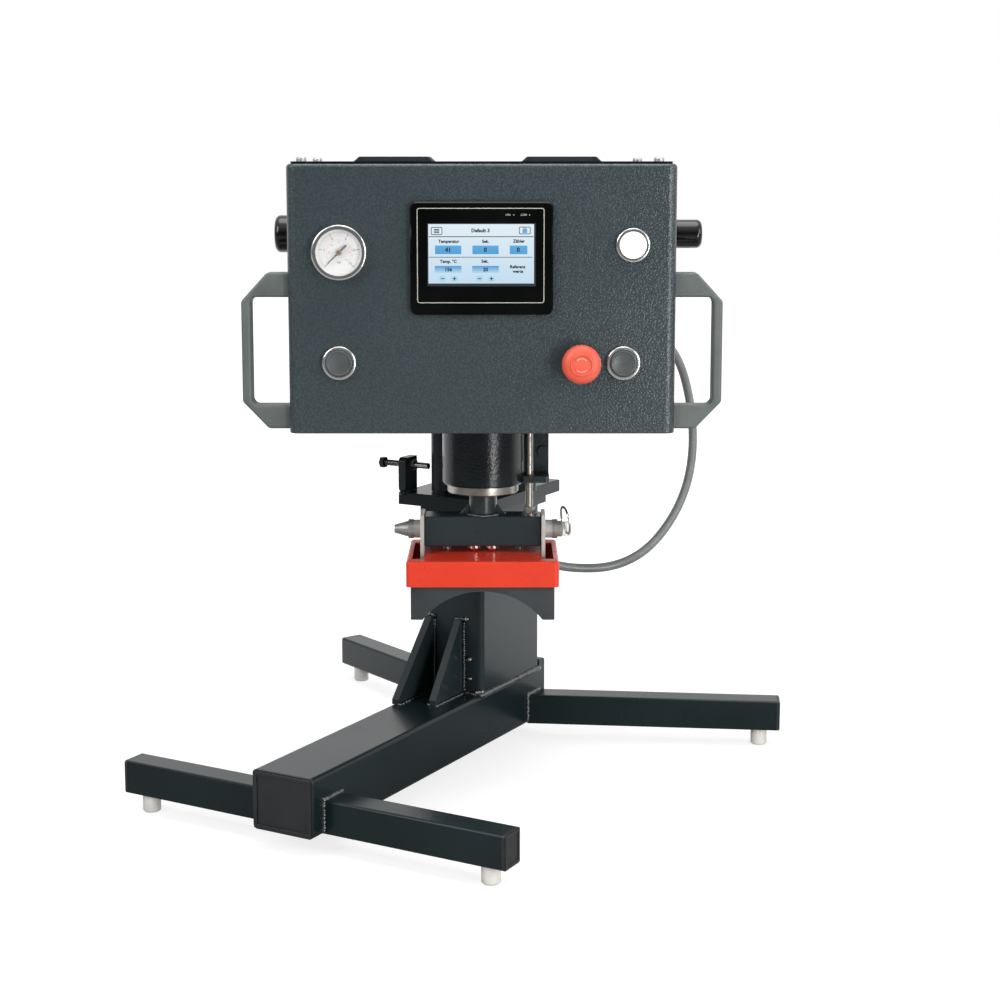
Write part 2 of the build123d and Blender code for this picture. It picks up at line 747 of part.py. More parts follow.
# fittings on the rear panel
with BuildPart() as cable_gland:
    add(rear_disc(6, case_rear - 6, case_rear + 2, cable_gland_at))
    add(rear_disc(9, case_rear - 5, case_rear, cable_gland_at))
    with BuildSketch(rear_plane(case_rear + 2)):
        with Locations((-cable_gland_at[0], cable_gland_at[1])):
            RegularPolygon(9, 6, major_radius=False)
    extrude(amount=5)
    add(rear_disc(7.5, case_rear + 7, case_rear + 17, cable_gland_at))
    fillet(cable_gland.edges().group_by(Axis.Y)[-1], 2)
    add(rear_disc(cable_diameter / 2 + 0.05, case_rear + 3, case_rear + 17, cable_gland_at), mode=Mode.SUBTRACT)
save(cable_gland.part, "cable_gland")

with BuildPart() as air_inlet:
    add(rear_disc(6, case_rear - 6, case_rear + 2, air_inlet_at))
    add(rear_disc(9, case_rear - 5, case_rear, air_inlet_at))
    with BuildSketch(rear_plane(case_rear + 2)):
        with Locations((-air_inlet_at[0], air_inlet_at[1])):
            RegularPolygon(8.5, 6, major_radius=False)
    extrude(amount=8)
    add(rear_disc(6.5, case_rear + 10, case_rear + 24, air_inlet_at))
    add(rear_disc(4, case_rear + 4, case_rear + 24, air_inlet_at), mode=Mode.SUBTRACT)
save(air_inlet.part, "air_inlet")

# the mains socket: a flanged moulding with three blades in its recess
with BuildPart() as power_inlet:
    with BuildSketch(rear_plane(case_rear + 2)):
        with Locations((-power_inlet_at[0], power_inlet_at[1])):
            RectangleRounded(50, 26, 6)
    extrude(amount=3)
    with BuildSketch(rear_plane(case_rear + 2)):
        with Locations((-power_inlet_at[0], power_inlet_at[1])):
            Rectangle(27.4, 19.8)
    extrude(amount=-22)
    with BuildSketch(rear_plane(case_rear + 5)):
        with Locations((-power_inlet_at[0], power_inlet_at[1])):
            RectangleRounded(24, 16, 2.5)
    extrude(amount=-18, mode=Mode.SUBTRACT)
    with BuildSketch(rear_plane(case_rear - 13)):
        with Locations((-power_inlet_at[0], power_inlet_at[1])):
            with Locations((-7, -2), (0, 3), (7, -2)):
                Rectangle(2, 4)
    extrude(amount=14)
save(power_inlet.part, "power_inlet")

# the ram: piston and rod in one turning
piston_bottom = 388
with BuildPart() as ram_rod:
    with Locations((0, ram_y, bar_top)):
        Cylinder(rod_diameter / 2, piston_bottom - bar_top, align=(Align.CENTER, Align.CENTER, Align.MIN))
    with Locations((0, ram_y, piston_bottom)):
        Cylinder(bore_diameter / 2 - running_gap, 24, align=(Align.CENTER, Align.CENTER, Align.MIN))
    chamfer(ram_rod.edges().group_by(Axis.Z)[-1], 1)
save(ram_rod.part, "ram_rod")

# the crossbar under the rod, with two small ribs against the rod's foot
with BuildPart() as ram_bar:
    with Locations((0, ram_y, bar_bottom + bar_size / 2)):
        Box(bar_length, bar_size, bar_size)
    chamfer(ram_bar.edges(), 0.8)
    for side in (-1, 1):
        with BuildSketch(front_plane(ram_y - 2.5)):
            with BuildLine():
                Polyline((side * (rod_diameter / 2 + 0.02), bar_top), (side * 21.5, bar_top),
                         (side * (rod_diameter / 2 + 0.02), bar_top + 9.5), close=True)
            make_face()
        extrude(amount=-5)
    with BuildSketch(side_plane(-bar_length / 2)):
        with Locations((ram_y, pin_z)):
            Circle(pin_diameter / 2 + running_gap)
    extrude(amount=bar_length, mode=Mode.SUBTRACT)
    with BuildSketch(Plane.XY.offset(bar_top)):
        with Locations((guide_x, ram_y)):
            Circle(guide_rod_radius + 0.02)
    extrude(amount=-6.5, mode=Mode.SUBTRACT)
    with BuildSketch(Plane.XY.offset(bar_bottom)):
        with Locations((-8.5, ram_y), (8.5, ram_y)):
            Circle(3.02)
    extrude(amount=6.5, mode=Mode.SUBTRACT)
save(ram_bar.part, "ram_bar")

with BuildPart() as guide_rod:
    with Locations((guide_x, ram_y, bar_top - 6.5)):
        Cylinder(guide_rod_radius, 350 - bar_top + 6.5, align=(Align.CENTER, Align.CENTER, Align.MIN))
    chamfer(guide_rod.edges().group_by(Axis.Z)[-1], 0.8)
    with Locations((guide_x, ram_y, bar_top)):
        Cylinder(7.25, 1.2, align=(Align.CENTER, Align.CENTER, Align.MIN))
    with BuildSketch(Plane.XY.offset(bar_top + 1.2)):
        with Locations((guide_x, ram_y)):
            RegularPolygon(5, 6, major_radius=False)
    extrude(amount=6)
save(guide_rod.part, "guide_rod")

with BuildPart() as levelling_screws:
    with Locations((-8.5, ram_y, bar_bottom), (8.5, ram_y, bar_bottom)):
        Cylinder(5.85, 6.1, align=(Align.CENTER, Align.CENTER, Align.MAX))
        Cylinder(3, 6.2, align=(Align.CENTER, Align.CENTER, Align.MIN))
    fillet(levelling_screws.edges().group_by(Axis.Z)[0], 2.5)
save(levelling_screws.part, "levelling_screws")

# the two ears that hang the platen on the pin, with their feet and bosses
ear_inside = 54.3
ear_outside = ear_inside + ear_thickness
boss_end = 64.8
with BuildPart() as platen_ears:
    for side in (-1, 1):
        with BuildSketch(side_plane(side * ear_inside)):
            with Locations((ram_y, (platen_top + bar_top + 2) / 2)):
                ear_outline = Rectangle(40, bar_top + 2 - platen_top)
            fillet(ear_outline.vertices().sort_by(Axis.Z)[-2:], 5)
        extrude(amount=side * ear_thickness)
        with Locations((side * 50.5, ram_y, platen_top + 1.5)):
            Box(8, 40, 3)
        with BuildSketch(side_plane(side * ear_outside)):
            with Locations((ram_y, pin_z)):
                Circle(8.5)
        extrude(amount=side * (boss_end - ear_outside))
    with BuildSketch(side_plane(-boss_end)):
        with Locations((ram_y, pin_z)):
            Circle(pin_diameter / 2 + running_gap)
    extrude(amount=2 * boss_end, mode=Mode.SUBTRACT)
save(platen_ears.part, "platen_ears")

# a collar on each boss; the left one carries a closed, fluted cone that takes the pin's end
pin_hole_end = boss_end + 4.6
with BuildPart() as pin_rings:
    for side in (-1, 1):
        with BuildSketch(side_plane(side * boss_end)):
            with Locations((ram_y, pin_z)):
                Circle(9)
                Circle(pin_diameter / 2 + running_gap, mode=Mode.SUBTRACT)
        extrude(amount=side * 4.6)
    with BuildSketch(side_plane(-pin_hole_end)):
        with Locations((ram_y, pin_z)):
            Circle(7.6)
    extrude(amount=-13.2, taper=16)
    with BuildSketch(side_plane(-pin_hole_end - 2.5)):
        with Locations((ram_y, pin_z)):
            with PolarLocations(7.8, 6):
                Circle(1.7)
    extrude(amount=-12, mode=Mode.SUBTRACT)
save(pin_rings.part, "pin_rings")

# the heated platen: an aluminium block whose underside is arched along its depth
platen_y = (cover_front + cover_rear) / 2
with BuildPart() as heating_platen:
    with BuildSketch(front_plane(platen_y - platen_depth / 2)):
        with Locations((0, (platen_bottom + platen_top) / 2)):
            Rectangle(platen_width, platen_top - platen_bottom)
        with Locations((0, platen_bottom + platen_arc_rise - platen_arc_radius)):
            Circle(platen_arc_radius, mode=Mode.SUBTRACT)
    extrude(amount=-platen_depth)
    chamfer(heating_platen.edges().filter_by(Axis.Z), 1)
save(heating_platen.part, "heating_platen")

spacer_points = [(-34, -139), (34, -139), (-34, -114), (34, -114)]
with BuildPart() as heating_element:
    with BuildSketch(Plane.XY.offset(platen_top)):
        with Locations((0, platen_y)):
            RectangleRounded(84, 78, 5)
        with Locations(*spacer_points):
            Circle(5, mode=Mode.SUBTRACT)
    extrude(amount=2)
save(heating_element.part, "heating_element")

with BuildPart() as insulation_board:
    with BuildSketch(Plane.XY.offset(platen_top + 2)):
        with Locations((0, platen_y)):
            RectangleRounded(88, 82, 4)
        with Locations(*spacer_points):
            Circle(5, mode=Mode.SUBTRACT)
    extrude(amount=10)
save(insulation_board.part, "insulation_board")

# the red sheet cover over the element, with slots for the ears and a hole for the gland
cover_gland_at = (45, 223.4)
with BuildPart() as heater_cover:
    with BuildSketch(Plane.XY.offset(cover_bottom)):
        with Locations((0, platen_y)):
            RectangleRounded(cover_width, cover_rear - cover_front, 4)
    extrude(amount=cover_top - cover_bottom)
    fillet(heater_cover.faces().sort_by(Axis.Z)[-1].edges(), 2.2)
    offset(amount=-cover_sheet, openings=[heater_cover.faces().sort_by(Axis.Z)[0]])
    with BuildSketch(Plane.XY.offset(cover_top)):
        with Locations((-59.4, ram_y), (59.4, ram_y)):
            Rectangle(11.2, 76)
        with Locations(*spacer_points):
            Circle(2.1)
    extrude(amount=-cover_sheet, mode=Mode.SUBTRACT)
    add(rear_disc(5.6, cover_rear - cover_sheet, cover_rear, cover_gland_at), mode=Mode.SUBTRACT)
save(heater_cover.part, "heater_cover")

# spacers and screws that hold the cover down on the platen
with BuildPart() as cover_screws:
    with Locations(*[(x, y, platen_top) for x, y in spacer_points]):
        Cylinder(4, cover_top - cover_sheet - platen_top, align=(Align.CENTER, Align.CENTER, Align.MIN))
        Cylinder(2, cover_top - platen_top, align=(Align.CENTER, Align.CENTER, Align.MIN))
    with Locations(*[(x, y, cover_top) for x, y in spacer_points]):
        Cylinder(3.4, 1.6, align=(Align.CENTER, Align.CENTER, Align.MIN))
save(cover_screws.part, "cover_screws")

with BuildPart() as heater_gland:
    add(rear_disc(5.5, cover_rear - 5.5, cover_rear, cover_gland_at))
    add(rear_disc(7.5, cover_rear - 5.5, cover_rear - cover_sheet, cover_gland_at))
    add(rear_disc(8, cover_rear, cover_rear + 4, cover_gland_at))
    add(rear_disc(6.8, cover_rear + 4, cover_rear + 13, cover_gland_at))
    add(rear_disc(cable_diameter / 2 + 0.05, cover_rear + 2, cover_rear + 13, cover_gland_at), mode=Mode.SUBTRACT)
save(heater_gland.part, "heater_gland")

# the quick-release pin: a shank that ends in the left cone, a head, and a tongue for the pull ring
pin_right = pin_hole_end
eye_drop = 4.4
eye_at = Vector(pin_right + 9.6, ram_y, pin_z - eye_drop)
eye_way = Vector(0, 1, 0).rotate(Axis.Z, 15)
eye_plane = Plane(origin=eye_at, x_dir=eye_way.cross(Vector(0, 0, 1)), z_dir=eye_way)
with BuildPart() as locking_pin:
    with BuildSketch(side_plane(-pin_hole_end + 0.4)):
        with Locations((ram_y, pin_z)):
            Circle(pin_diameter / 2)
    extrude(amount=2 * pin_right - 0.4)
    with BuildSketch(side_plane(pin_right)):
        with Locations((ram_y, pin_z)):
            Circle(7.5)
    extrude(amount=5)
    chamfer(locking_pin.edges().filter_by(GeomType.CIRCLE).sort_by(Axis.X)[-1], 1)
    with BuildSketch(eye_plane.offset(-1.2)):
        with Locations((-1.2, -eye_drop)):
            RectangleRounded(9.6, 13.6, 3)
        Circle(1.9, mode=Mode.SUBTRACT)
    extrude(amount=2.4)
save(locking_pin.part, "locking_pin")

# the pull ring, which leans a little towards the ear
ring_radius = 12.6
ring_lean = 9
ring_up = Vector(0, 0, 1).rotate(Axis((0, 0, 0), eye_way), -ring_lean)
with BuildPart() as pull_ring:
    with BuildSketch(eye_plane):
        Circle(1.15)
    revolve(axis=Axis(eye_at + ring_up * ring_radius, eye_way.cross(ring_up)))
save(pull_ring.part, "pull_ring")

# the grey conduit that feeds the heater: from the rear panel, down behind the right handle,
# to the gland at the back of the cover
cable_points = [
    (cable_gland_at[0], case_rear + 4, cable_gland_at[1]),
    (cable_gland_at[0], 108, cable_gland_at[1]),
    (150, 130, 424),
    (203, 103, 407),
    (222, 70, 318),
    (205, 22, 246),
    (150, -22, 191),
    (66, -38, 193),
    (cover_gland_at[0], -54, cover_gland_at[1]),
    (cover_gland_at[0], cover_rear + 3, cover_gland_at[1]),
]


def bend_radii(points):
    """The largest safe bend at each inner corner, from its turn and its shorter run."""
    radii = []
    for before, corner, after in zip(points, points[1:], points[2:]):
        run_in = Vector(*corner) - Vector(*before)
        run_out = Vector(*after) - Vector(*corner)
        turn = math.radians(run_in.get_angle(run_out))
        radii.append(0.45 * min(run_in.length, run_out.length) / math.tan(turn / 2))
    return radii


with BuildPart() as heater_cable:
    with BuildLine():
        cable_line = FilletPolyline(*cable_points, radius=bend_radii(cable_points))
    with BuildSketch(Plane(origin=cable_line @ 0, z_dir=cable_line % 0)):
        Circle(cable_diameter / 2)
    sweep(path=cable_line)
save(heater_cable.part, "heater_cable")
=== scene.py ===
import math
import random

import bpy
from mathutils import Matrix, Vector


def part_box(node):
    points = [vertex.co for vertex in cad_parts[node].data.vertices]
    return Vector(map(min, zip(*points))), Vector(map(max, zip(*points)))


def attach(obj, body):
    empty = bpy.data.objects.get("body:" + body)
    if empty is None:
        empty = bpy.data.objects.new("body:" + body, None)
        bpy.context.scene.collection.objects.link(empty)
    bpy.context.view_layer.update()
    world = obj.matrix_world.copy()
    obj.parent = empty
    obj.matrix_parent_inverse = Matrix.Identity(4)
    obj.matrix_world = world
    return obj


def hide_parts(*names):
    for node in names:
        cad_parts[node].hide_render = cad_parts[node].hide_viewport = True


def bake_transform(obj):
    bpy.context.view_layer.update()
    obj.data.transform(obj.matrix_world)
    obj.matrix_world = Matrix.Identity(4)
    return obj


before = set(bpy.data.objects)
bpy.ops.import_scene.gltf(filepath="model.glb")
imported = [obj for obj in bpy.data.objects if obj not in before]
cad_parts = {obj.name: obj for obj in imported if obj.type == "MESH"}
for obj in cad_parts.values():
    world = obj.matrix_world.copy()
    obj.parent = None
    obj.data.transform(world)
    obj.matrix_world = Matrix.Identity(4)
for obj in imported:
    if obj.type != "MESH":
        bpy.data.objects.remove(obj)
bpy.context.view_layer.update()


# The welded tube base
# A beam of rectangular steel tube with two front arms, two splayed rear arms and an end plate.
# All of it is welded up first and then powder coated in a glossy blue-black.
def seen(red, green, blue):
    """A colour as the eye reads it, from 0 to 255, turned into the linear values that shaders use."""
    def linear(value):
        share = value / 255
        return share / 12.92 if share <= 0.04045 else ((share + 0.055) / 1.055) ** 2.4
    return (linear(red), linear(green), linear(blue), 1)


def new_socket(group, name, kind, direction, value=None):
    """Add one named socket to a node group."""
    socket = group.interface.new_socket(name=name, in_out=direction, socket_type=kind)
    if value is not None:
        socket.default_value = value


def build_patchy_group():
    """Two colours and two gloss levels that change over in soft patches, and a fine grain."""
    group = bpy.data.node_groups.new("patchy_surface", "ShaderNodeTree")
    new_socket(group, "Colour", "NodeSocketColor", "INPUT")
    new_socket(group, "Patch colour", "NodeSocketColor", "INPUT")
    new_socket(group, "Smooth", "NodeSocketFloat", "INPUT", 0.3)
    new_socket(group, "Rough", "NodeSocketFloat", "INPUT", 0.5)
    new_socket(group, "Patch scale", "NodeSocketFloat", "INPUT", 12)
    new_socket(group, "Grain scale", "NodeSocketFloat", "INPUT", 900)
    new_socket(group, "Colour", "NodeSocketColor", "OUTPUT")
    new_socket(group, "Roughness", "NodeSocketFloat", "OUTPUT")
    new_socket(group, "Height", "NodeSocketFloat", "OUTPUT")
    nodes, links = group.nodes, group.links
    given = nodes.new("NodeGroupInput")
    result = nodes.new("NodeGroupOutput")
    place = nodes.new("ShaderNodeTexCoord")
    patches = nodes.new("ShaderNodeTexNoise")
    patches.inputs["Detail"].default_value = 5
    links.new(place.outputs["Object"], patches.inputs["Vector"])
    links.new(given.outputs["Patch scale"], patches.inputs["Scale"])
    spread = nodes.new("ShaderNodeMapRange")
    spread.inputs["From Min"].default_value = 0.32
    spread.inputs["From Max"].default_value = 0.7
    links.new(patches.outputs["Fac"], spread.inputs["Value"])
    tint = nodes.new("ShaderNodeMix")
    tint.data_type = "RGBA"
    links.new(spread.outputs["Result"], tint.inputs["Factor"])
    links.new(given.outputs["Colour"], tint.inputs["A"])
    links.new(given.outputs["Patch colour"], tint.inputs["B"])
    gloss = nodes.new("ShaderNodeMix")
    links.new(spread.outputs["Result"], gloss.inputs["Factor"])
    links.new(given.outputs["Smooth"], gloss.inputs["A"])
    links.new(given.outputs["Rough"], gloss.inputs["B"])
    grain = nodes.new("ShaderNodeTexNoise")
    grain.inputs["Detail"].default_value = 2
    links.new(place.outputs["Object"], grain.inputs["Vector"])
    links.new(given.outputs["Grain scale"], grain.inputs["Scale"])
    links.new(tint.outputs["Result"], result.inputs["Colour"])
    links.new(gloss.outputs["Result"], result.inputs["Roughness"])
    links.new(grain.outputs["Fac"], result.inputs["Height"])
    return group


patchy_surface = build_patchy_group()


def patchy(name, colour, patch, smooth, rough, patch_scale, grain_scale, bump=0.1, depth=0.0002, **sockets):
    """A material whose colour, gloss and bump come from the patchy surface."""
    material = bpy.data.materials.new(name)
    material.use_nodes = True
    nodes, links = material.node_tree.nodes, material.node_tree.links
    shader = nodes["Principled BSDF"]
    surface = nodes.new("ShaderNodeGroup")
    surface.node_tree = patchy_surface
    values = {"Colour": colour, "Patch colour": patch, "Smooth": smooth, "Rough": rough,
              "Patch scale": patch_scale, "Grain scale": grain_scale}
    for socket, value in values.items():
        surface.inputs[socket].default_value = value
    relief = nodes.new("ShaderNodeBump")
    relief.inputs["Strength"].default_value = bump
    relief.inputs["Distance"].default_value = depth
    links.new(surface.outputs["Colour"], shader.inputs["Base Color"])
    links.new(surface.outputs["Roughness"], shader.inputs["Roughness"])
    links.new(surface.outputs["Height"], relief.inputs["Height"])
    links.new(relief.outputs["Normal"], shader.inputs["Normal"])
    for socket, value in sockets.items():
        shader.inputs[socket.replace("_", " ")].default_value = value
    return material


def dress(material, *names):
    """Give frame parts that keep their shape a finish of their own."""
    for name in names:
        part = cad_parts[name]
        part.data.materials.clear()
        part.data.materials.append(material)


base_coat = patchy("base_powder_coat", seen(18, 30, 33), seen(24, 37, 40), 0.2, 0.3, 9, 260,
                   0.16, 0.0003, Specular_IOR_Level=0.24, Coat_Weight=0.05, Coat_Roughness=0.1)
dress(base_coat, "base_beam", "beam_end_plate", "front_arms", "rear_arms")

base_turn = math.radians(29.2)
base_right = Vector((math.cos(base_turn), -math.sin(base_turn), 0))
base_back = Vector((math.sin(base_turn), math.cos(base_turn), 0))
up = Vector((0, 0, 1))


def on_base(across, back, height):
    """A point of the base, measured across and back along the beam, in metres."""
    return base_right * across + base_back * back + up * height


def only(piece):
    """Select one object alone and make it the active one."""
    bpy.ops.object.select_all(action="DESELECT")
    piece.select_set(True)
    bpy.context.view_layer.objects.active = piece


def apply_place(piece):
    """Put a piece's place, turn and size into its mesh."""
    only(piece)
    bpy.ops.object.transform_apply(location=True, rotation=True, scale=True)


def settle(piece, name, body, material):
    """Give a finished piece its place, its name, its finish and the body that it rides on."""
    apply_place(piece)
    piece.name = name
    piece.data.name = name
    piece.data.materials.clear()
    piece.data.materials.append(material)
    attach(piece, body)


def join(pieces):
    """Make several meshes one object."""
    bpy.ops.object.select_all(action="DESELECT")
    for piece in pieces:
        piece.select_set(True)
    bpy.context.view_layer.objects.active = pieces[0]
    if len(pieces) > 1:
        bpy.ops.object.join()
    return bpy.context.view_layer.objects.active


weld_coat = patchy("coated_weld", seen(16, 22, 25), seen(26, 33, 36), 0.08, 0.2, 90, 700,
                   0.3, 0.0003, Specular_IOR_Level=0.8, Coat_Weight=0.8, Coat_Roughness=0.05)
ripple_spacing = 0.0023


def weld(name, runs, width, body, finish=weld_coat):
    """Beads laid by hand: overlapping ripples along each run, a little uneven."""
    chance = random.Random(name)
    ripples = []
    bpy.ops.object.select_all(action="DESELECT")
    bpy.ops.mesh.primitive_ico_sphere_add(subdivisions=2, radius=width / 2, location=(0, 0, 0))
    pattern = bpy.context.active_object
    bpy.ops.object.shade_smooth()
    for start, end in runs:
        length = (end - start).length
        steps = max(2, round(length / ripple_spacing))
        for step in range(steps + 1):
            ripple = pattern.copy()
            ripple.data = pattern.data.copy()
            bpy.context.scene.collection.objects.link(ripple)
            wander = Vector([chance.uniform(-0.0003, 0.0003) for _ in range(3)])
            ripple.location = start.lerp(end, step / steps) + wander
            size = chance.uniform(0.88, 1.12)
            ripple.scale = (size, size, size * 0.85)
            ripples.append(ripple)
    bpy.data.objects.remove(pattern)
    settle(join(ripples), name, body, finish)


arm_side = 0.0315
arm_low, arm_top = 0.021, 0.048
front_arm_edges = (-0.337, -0.310)
rear_arm_edges = (0.0345, 0.0585)
for side, side_name in ((-1, "left"), (1, "right")):
    weld("front_arm_weld_" + side_name,
         [tuple(on_base(side * arm_side, edge, arm_top) for edge in front_arm_edges)]
         + [tuple(on_base(side * arm_side, edge, height) for height in (arm_low, arm_top))
            for edge in front_arm_edges],
         0.006, "base")
    weld("rear_arm_weld_" + side_name,
         [tuple(on_base(side * arm_side, rear_arm_edges[0], height) for height in (arm_low, 0.047)),
          tuple(on_base(side * arm_side, edge, arm_top) for edge in rear_arm_edges)],
         0.006, "base")


# The plugs in the tube ends
# Black moulded plugs pushed into the open ends of the five tubes, each with a raised border.
# The one in the beam is the only large one and shows its sunk middle.
plug_plastic = patchy("plug_plastic", seen(26, 28, 30), seen(34, 36, 38), 0.38, 0.55, 30, 1400, 0.25, 0.0002)
dress(plug_plastic, "tube_end_caps")


def face_outward():
    """In edit mode, turn every face of the mesh outward."""
    bpy.ops.mesh.select_all(action="SELECT")
    bpy.ops.mesh.normals_make_consistent(inside=False)


def raised_border(centre, across, width, height, rim, lift):
    """A raised rim round a flat upright face."""
    bpy.ops.object.select_all(action="DESELECT")
    bpy.ops.mesh.primitive_plane_add(size=1, location=(0, 0, 0))
    border = bpy.context.active_object
    outward = across.cross(up)
    border.matrix_world = Matrix((
        (across.x * width, up.x * height, outward.x, centre.x),
        (across.y * width, up.y * height, outward.y, centre.y),
        (across.z * width, up.z * height, outward.z, centre.z),
        (0, 0, 0, 1)))
    apply_place(border)
    bpy.ops.object.mode_set(mode="EDIT")
    bpy.ops.mesh.select_all(action="SELECT")
    bpy.ops.mesh.inset(thickness=rim)
    bpy.ops.mesh.delete(type="FACE")
    bpy.ops.mesh.select_all(action="SELECT")
    bpy.ops.mesh.extrude_region_move(TRANSFORM_OT_translate={"value": outward * lift})
    face_outward()
    bpy.ops.object.mode_set(mode="OBJECT")
    soften = border.modifiers.new("soften", "BEVEL")
    soften.width = lift * 0.35
    soften.segments = 2
    bpy.ops.object.modifier_apply(modifier="soften")
    return border


splay = math.radians(23.5)
front_arm_reach = {-1: 0.188, 1: 0.208}
rear_arm_length = 0.254
plug_stands_out = 0.0025
arm_middle = 0.0325
arm_border = (0.0246, 0.0286, 0.0025, 0.0008)
borders = [raised_border(on_base(0, -0.3535, 0.044), base_right, 0.0606, 0.0516, 0.0035, 0.0012)]
for side in (-1, 1):
    front_tip = on_base(side * (front_arm_reach[side] + plug_stands_out), -0.3235, arm_middle)
    borders.append(raised_border(front_tip, base_back * side, *arm_border))
    arm_way = base_right * side * math.cos(splay) + base_back * math.sin(splay)
    arm_root = on_base(0, 0.0485 - arm_side * math.tan(splay), arm_middle)
    rear_tip = arm_root + arm_way * (rear_arm_length + arm_side + plug_stands_out)
    borders.append(raised_border(rear_tip, up.cross(arm_way), *arm_border))
settle(join(borders), "plug_borders", "base", plug_plastic)


# The four feet
# Turned white nylon buttons under the arms, a little see-through, scuffed where they slide.
nylon = patchy("white_nylon", seen(238, 236, 230), seen(214, 211, 204), 0.35, 0.5, 60, 900, 0.08, 0.0002,
               Subsurface_Weight=0.35, Subsurface_Scale=0.004)
dress(nylon, "feet")


# The column, its gussets and the platform
# A heavy upright tube with a flange, two triangular gussets against its front, and the plate
# that the head turns on. All are welded on and coated with the base.
column_coat = patchy("column_powder_coat", seen(30, 40, 43), seen(37, 47, 50), 0.2, 0.3, 11, 300,
                     0.12, 0.0003, Specular_IOR_Level=0.3)
dress(column_coat, "column", "gussets", "stop_lug")
dress(base_coat, "platform")
gusset_top, beam_top, flange_under = 0.146, 0.0712, 0.2475
column_front, column_edge = -0.0605, 0.0312
gusset_sides = ((-0.0228, -0.127), (0.0021, -0.113), (0.0109, -0.113))
weld("gusset_welds",
     [(on_base(across, -0.0610, gusset_top), on_base(across + 0.0075, -0.0612, gusset_top + 0.001))
      for across in (-0.0305, 0.0028)]
     + [(on_base(across, -0.0610, 0.075), on_base(across, -0.0610, gusset_top - 0.004))
        for across, _ in gusset_sides]
     + [(on_base(across, toe, beam_top), on_base(across, -0.064, beam_top)) for across, toe in gusset_sides],
     0.0045, "base")
weld("column_foot_welds",
     [tuple(on_base(side * column_edge, back, 0.0710) for back in (-0.060, 0.059)) for side in (1, -1)]
     + [(on_base(0.0125, column_front, beam_top), on_base(0.0300, column_front, beam_top)),
        (on_base(-0.0190, column_front, beam_top), on_base(0.0, column_front, beam_top))],
     0.0065, "base")
weld("flange_welds",
     [tuple(on_base(side * 0.0318, back, flange_under) for back in (-0.056, 0.056)) for side in (-1, 1)]
     + [(on_base(-0.028, column_front, flange_under), on_base(0.028, column_front, flange_under))],
     0.0055, "base")
turned_steel = patchy("turned_steel", seen(162, 158, 149), seen(132, 129, 122), 0.26, 0.42, 140, 2200, 0.12,
                      0.0001, Metallic=1.0)
# Painted highlight: these spatter blobs are coated like the column, but they get bright turned steel so that
# they show as glints.
weld("column_corner_spots",
     [(on_base(0.0275, -0.0625, 0.0740), on_base(column_edge, -0.0610, 0.0750)),
      (on_base(0.0160, column_front, 0.1050), on_base(0.0178, column_front, 0.1065)),
      (on_base(0.0130, column_front, gusset_top), on_base(0.0145, column_front, gusset_top + 0.001)),
      (on_base(0.0170, column_front, 0.0860), on_base(0.0180, column_front, 0.0868))],
     0.0052, "base", turned_steel)


# The swing stop
# A threaded steel screw through a lug on the platform, held by a nut on each side. Its tip
# stops the mast, so it sets how far the head comes round.
def threaded_rod(start, along, length, radius, pitch):
    """A rod with a real thread: a sheet rolled into a tube whose radius follows the helix."""
    around = 20
    rows = max(8, round(length / pitch * 4))
    bpy.ops.object.select_all(action="DESELECT")
    bpy.ops.mesh.primitive_grid_add(x_subdivisions=around, y_subdivisions=rows, size=2, location=(0, 0, 0))
    rod = bpy.context.active_object
    side_way = along.orthogonal().normalized()
    other_way = along.cross(side_way).normalized()
    for vertex in rod.data.vertices:
        turn = (vertex.co.x + 1) * math.pi
        run = (vertex.co.y + 1) / 2 * length
        wave = abs(((run / pitch - turn / (2 * math.pi)) % 1) * 2 - 1)
        reach = radius - 0.0006 * wave
        off_axis = side_way * math.cos(turn) + other_way * math.sin(turn)
        vertex.co = start + along * run + off_axis * reach
    only(rod)
    bpy.ops.object.mode_set(mode="EDIT")
    bpy.ops.mesh.select_all(action="SELECT")
    bpy.ops.mesh.remove_doubles(threshold=0.00001)
    bpy.ops.mesh.select_all(action="DESELECT")
    bpy.ops.mesh.select_mode(type="EDGE")
    bpy.ops.mesh.select_non_manifold()
    bpy.ops.mesh.fill_holes(sides=0)
    face_outward()
    bpy.ops.mesh.select_mode(type="VERT")
    bpy.ops.object.mode_set(mode="OBJECT")
    return rod


black_oxide = patchy("blackened_steel", seen(20, 22, 23), seen(34, 35, 35), 0.25, 0.4, 200, 1500, 0.1, 0.0001,
                     Metallic=0.3)
zinc = patchy("bright_zinc", seen(196, 194, 189), seen(160, 160, 157), 0.26, 0.42, 120, 1800, 0.1, 0.0001,
              Metallic=1.0)
dress(zinc, "stop_screw")
nut_middles, nut_half = (-0.04195, -0.05455), 0.0026
stop_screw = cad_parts["stop_screw"]
stop_screw.data.materials.append(black_oxide)
for face in stop_screw.data.polygons:
    across = (stop_screw.matrix_world @ face.center).dot(base_right)
    if min(abs(across - middle) for middle in nut_middles) > nut_half:
        face.material_index = 1
screw_tip = on_base(-0.0246, -0.068, 0.2985)
stop_thread = threaded_rod(screw_tip, -base_right, length=0.050, radius=0.00312, pitch=0.001)
settle(stop_thread, "stop_thread", "base", black_oxide)
weld("stop_lug_weld", [tuple(on_base(-0.0460, back, 0.2722) for back in (-0.0855, -0.0590))], 0.0045, "base")


# The pivot
# A turned steel post in bronze bushes, kept down by a washer and a bolt. It is out of sight
# inside the mast, but for the flange of the lower bush.
bronze = patchy("sintered_bronze", seen(150, 118, 74), seen(112, 88, 56), 0.4, 0.6, 200, 2600, 0.2, 0.0001,
                Metallic=0.9)
dress(turned_steel, "pivot_post")
dress(zinc, "post_retainer", "handle_screws", "regulator_bodies", "cover_screws")
dress(bronze, "pivot_bushes", "guide_bush")


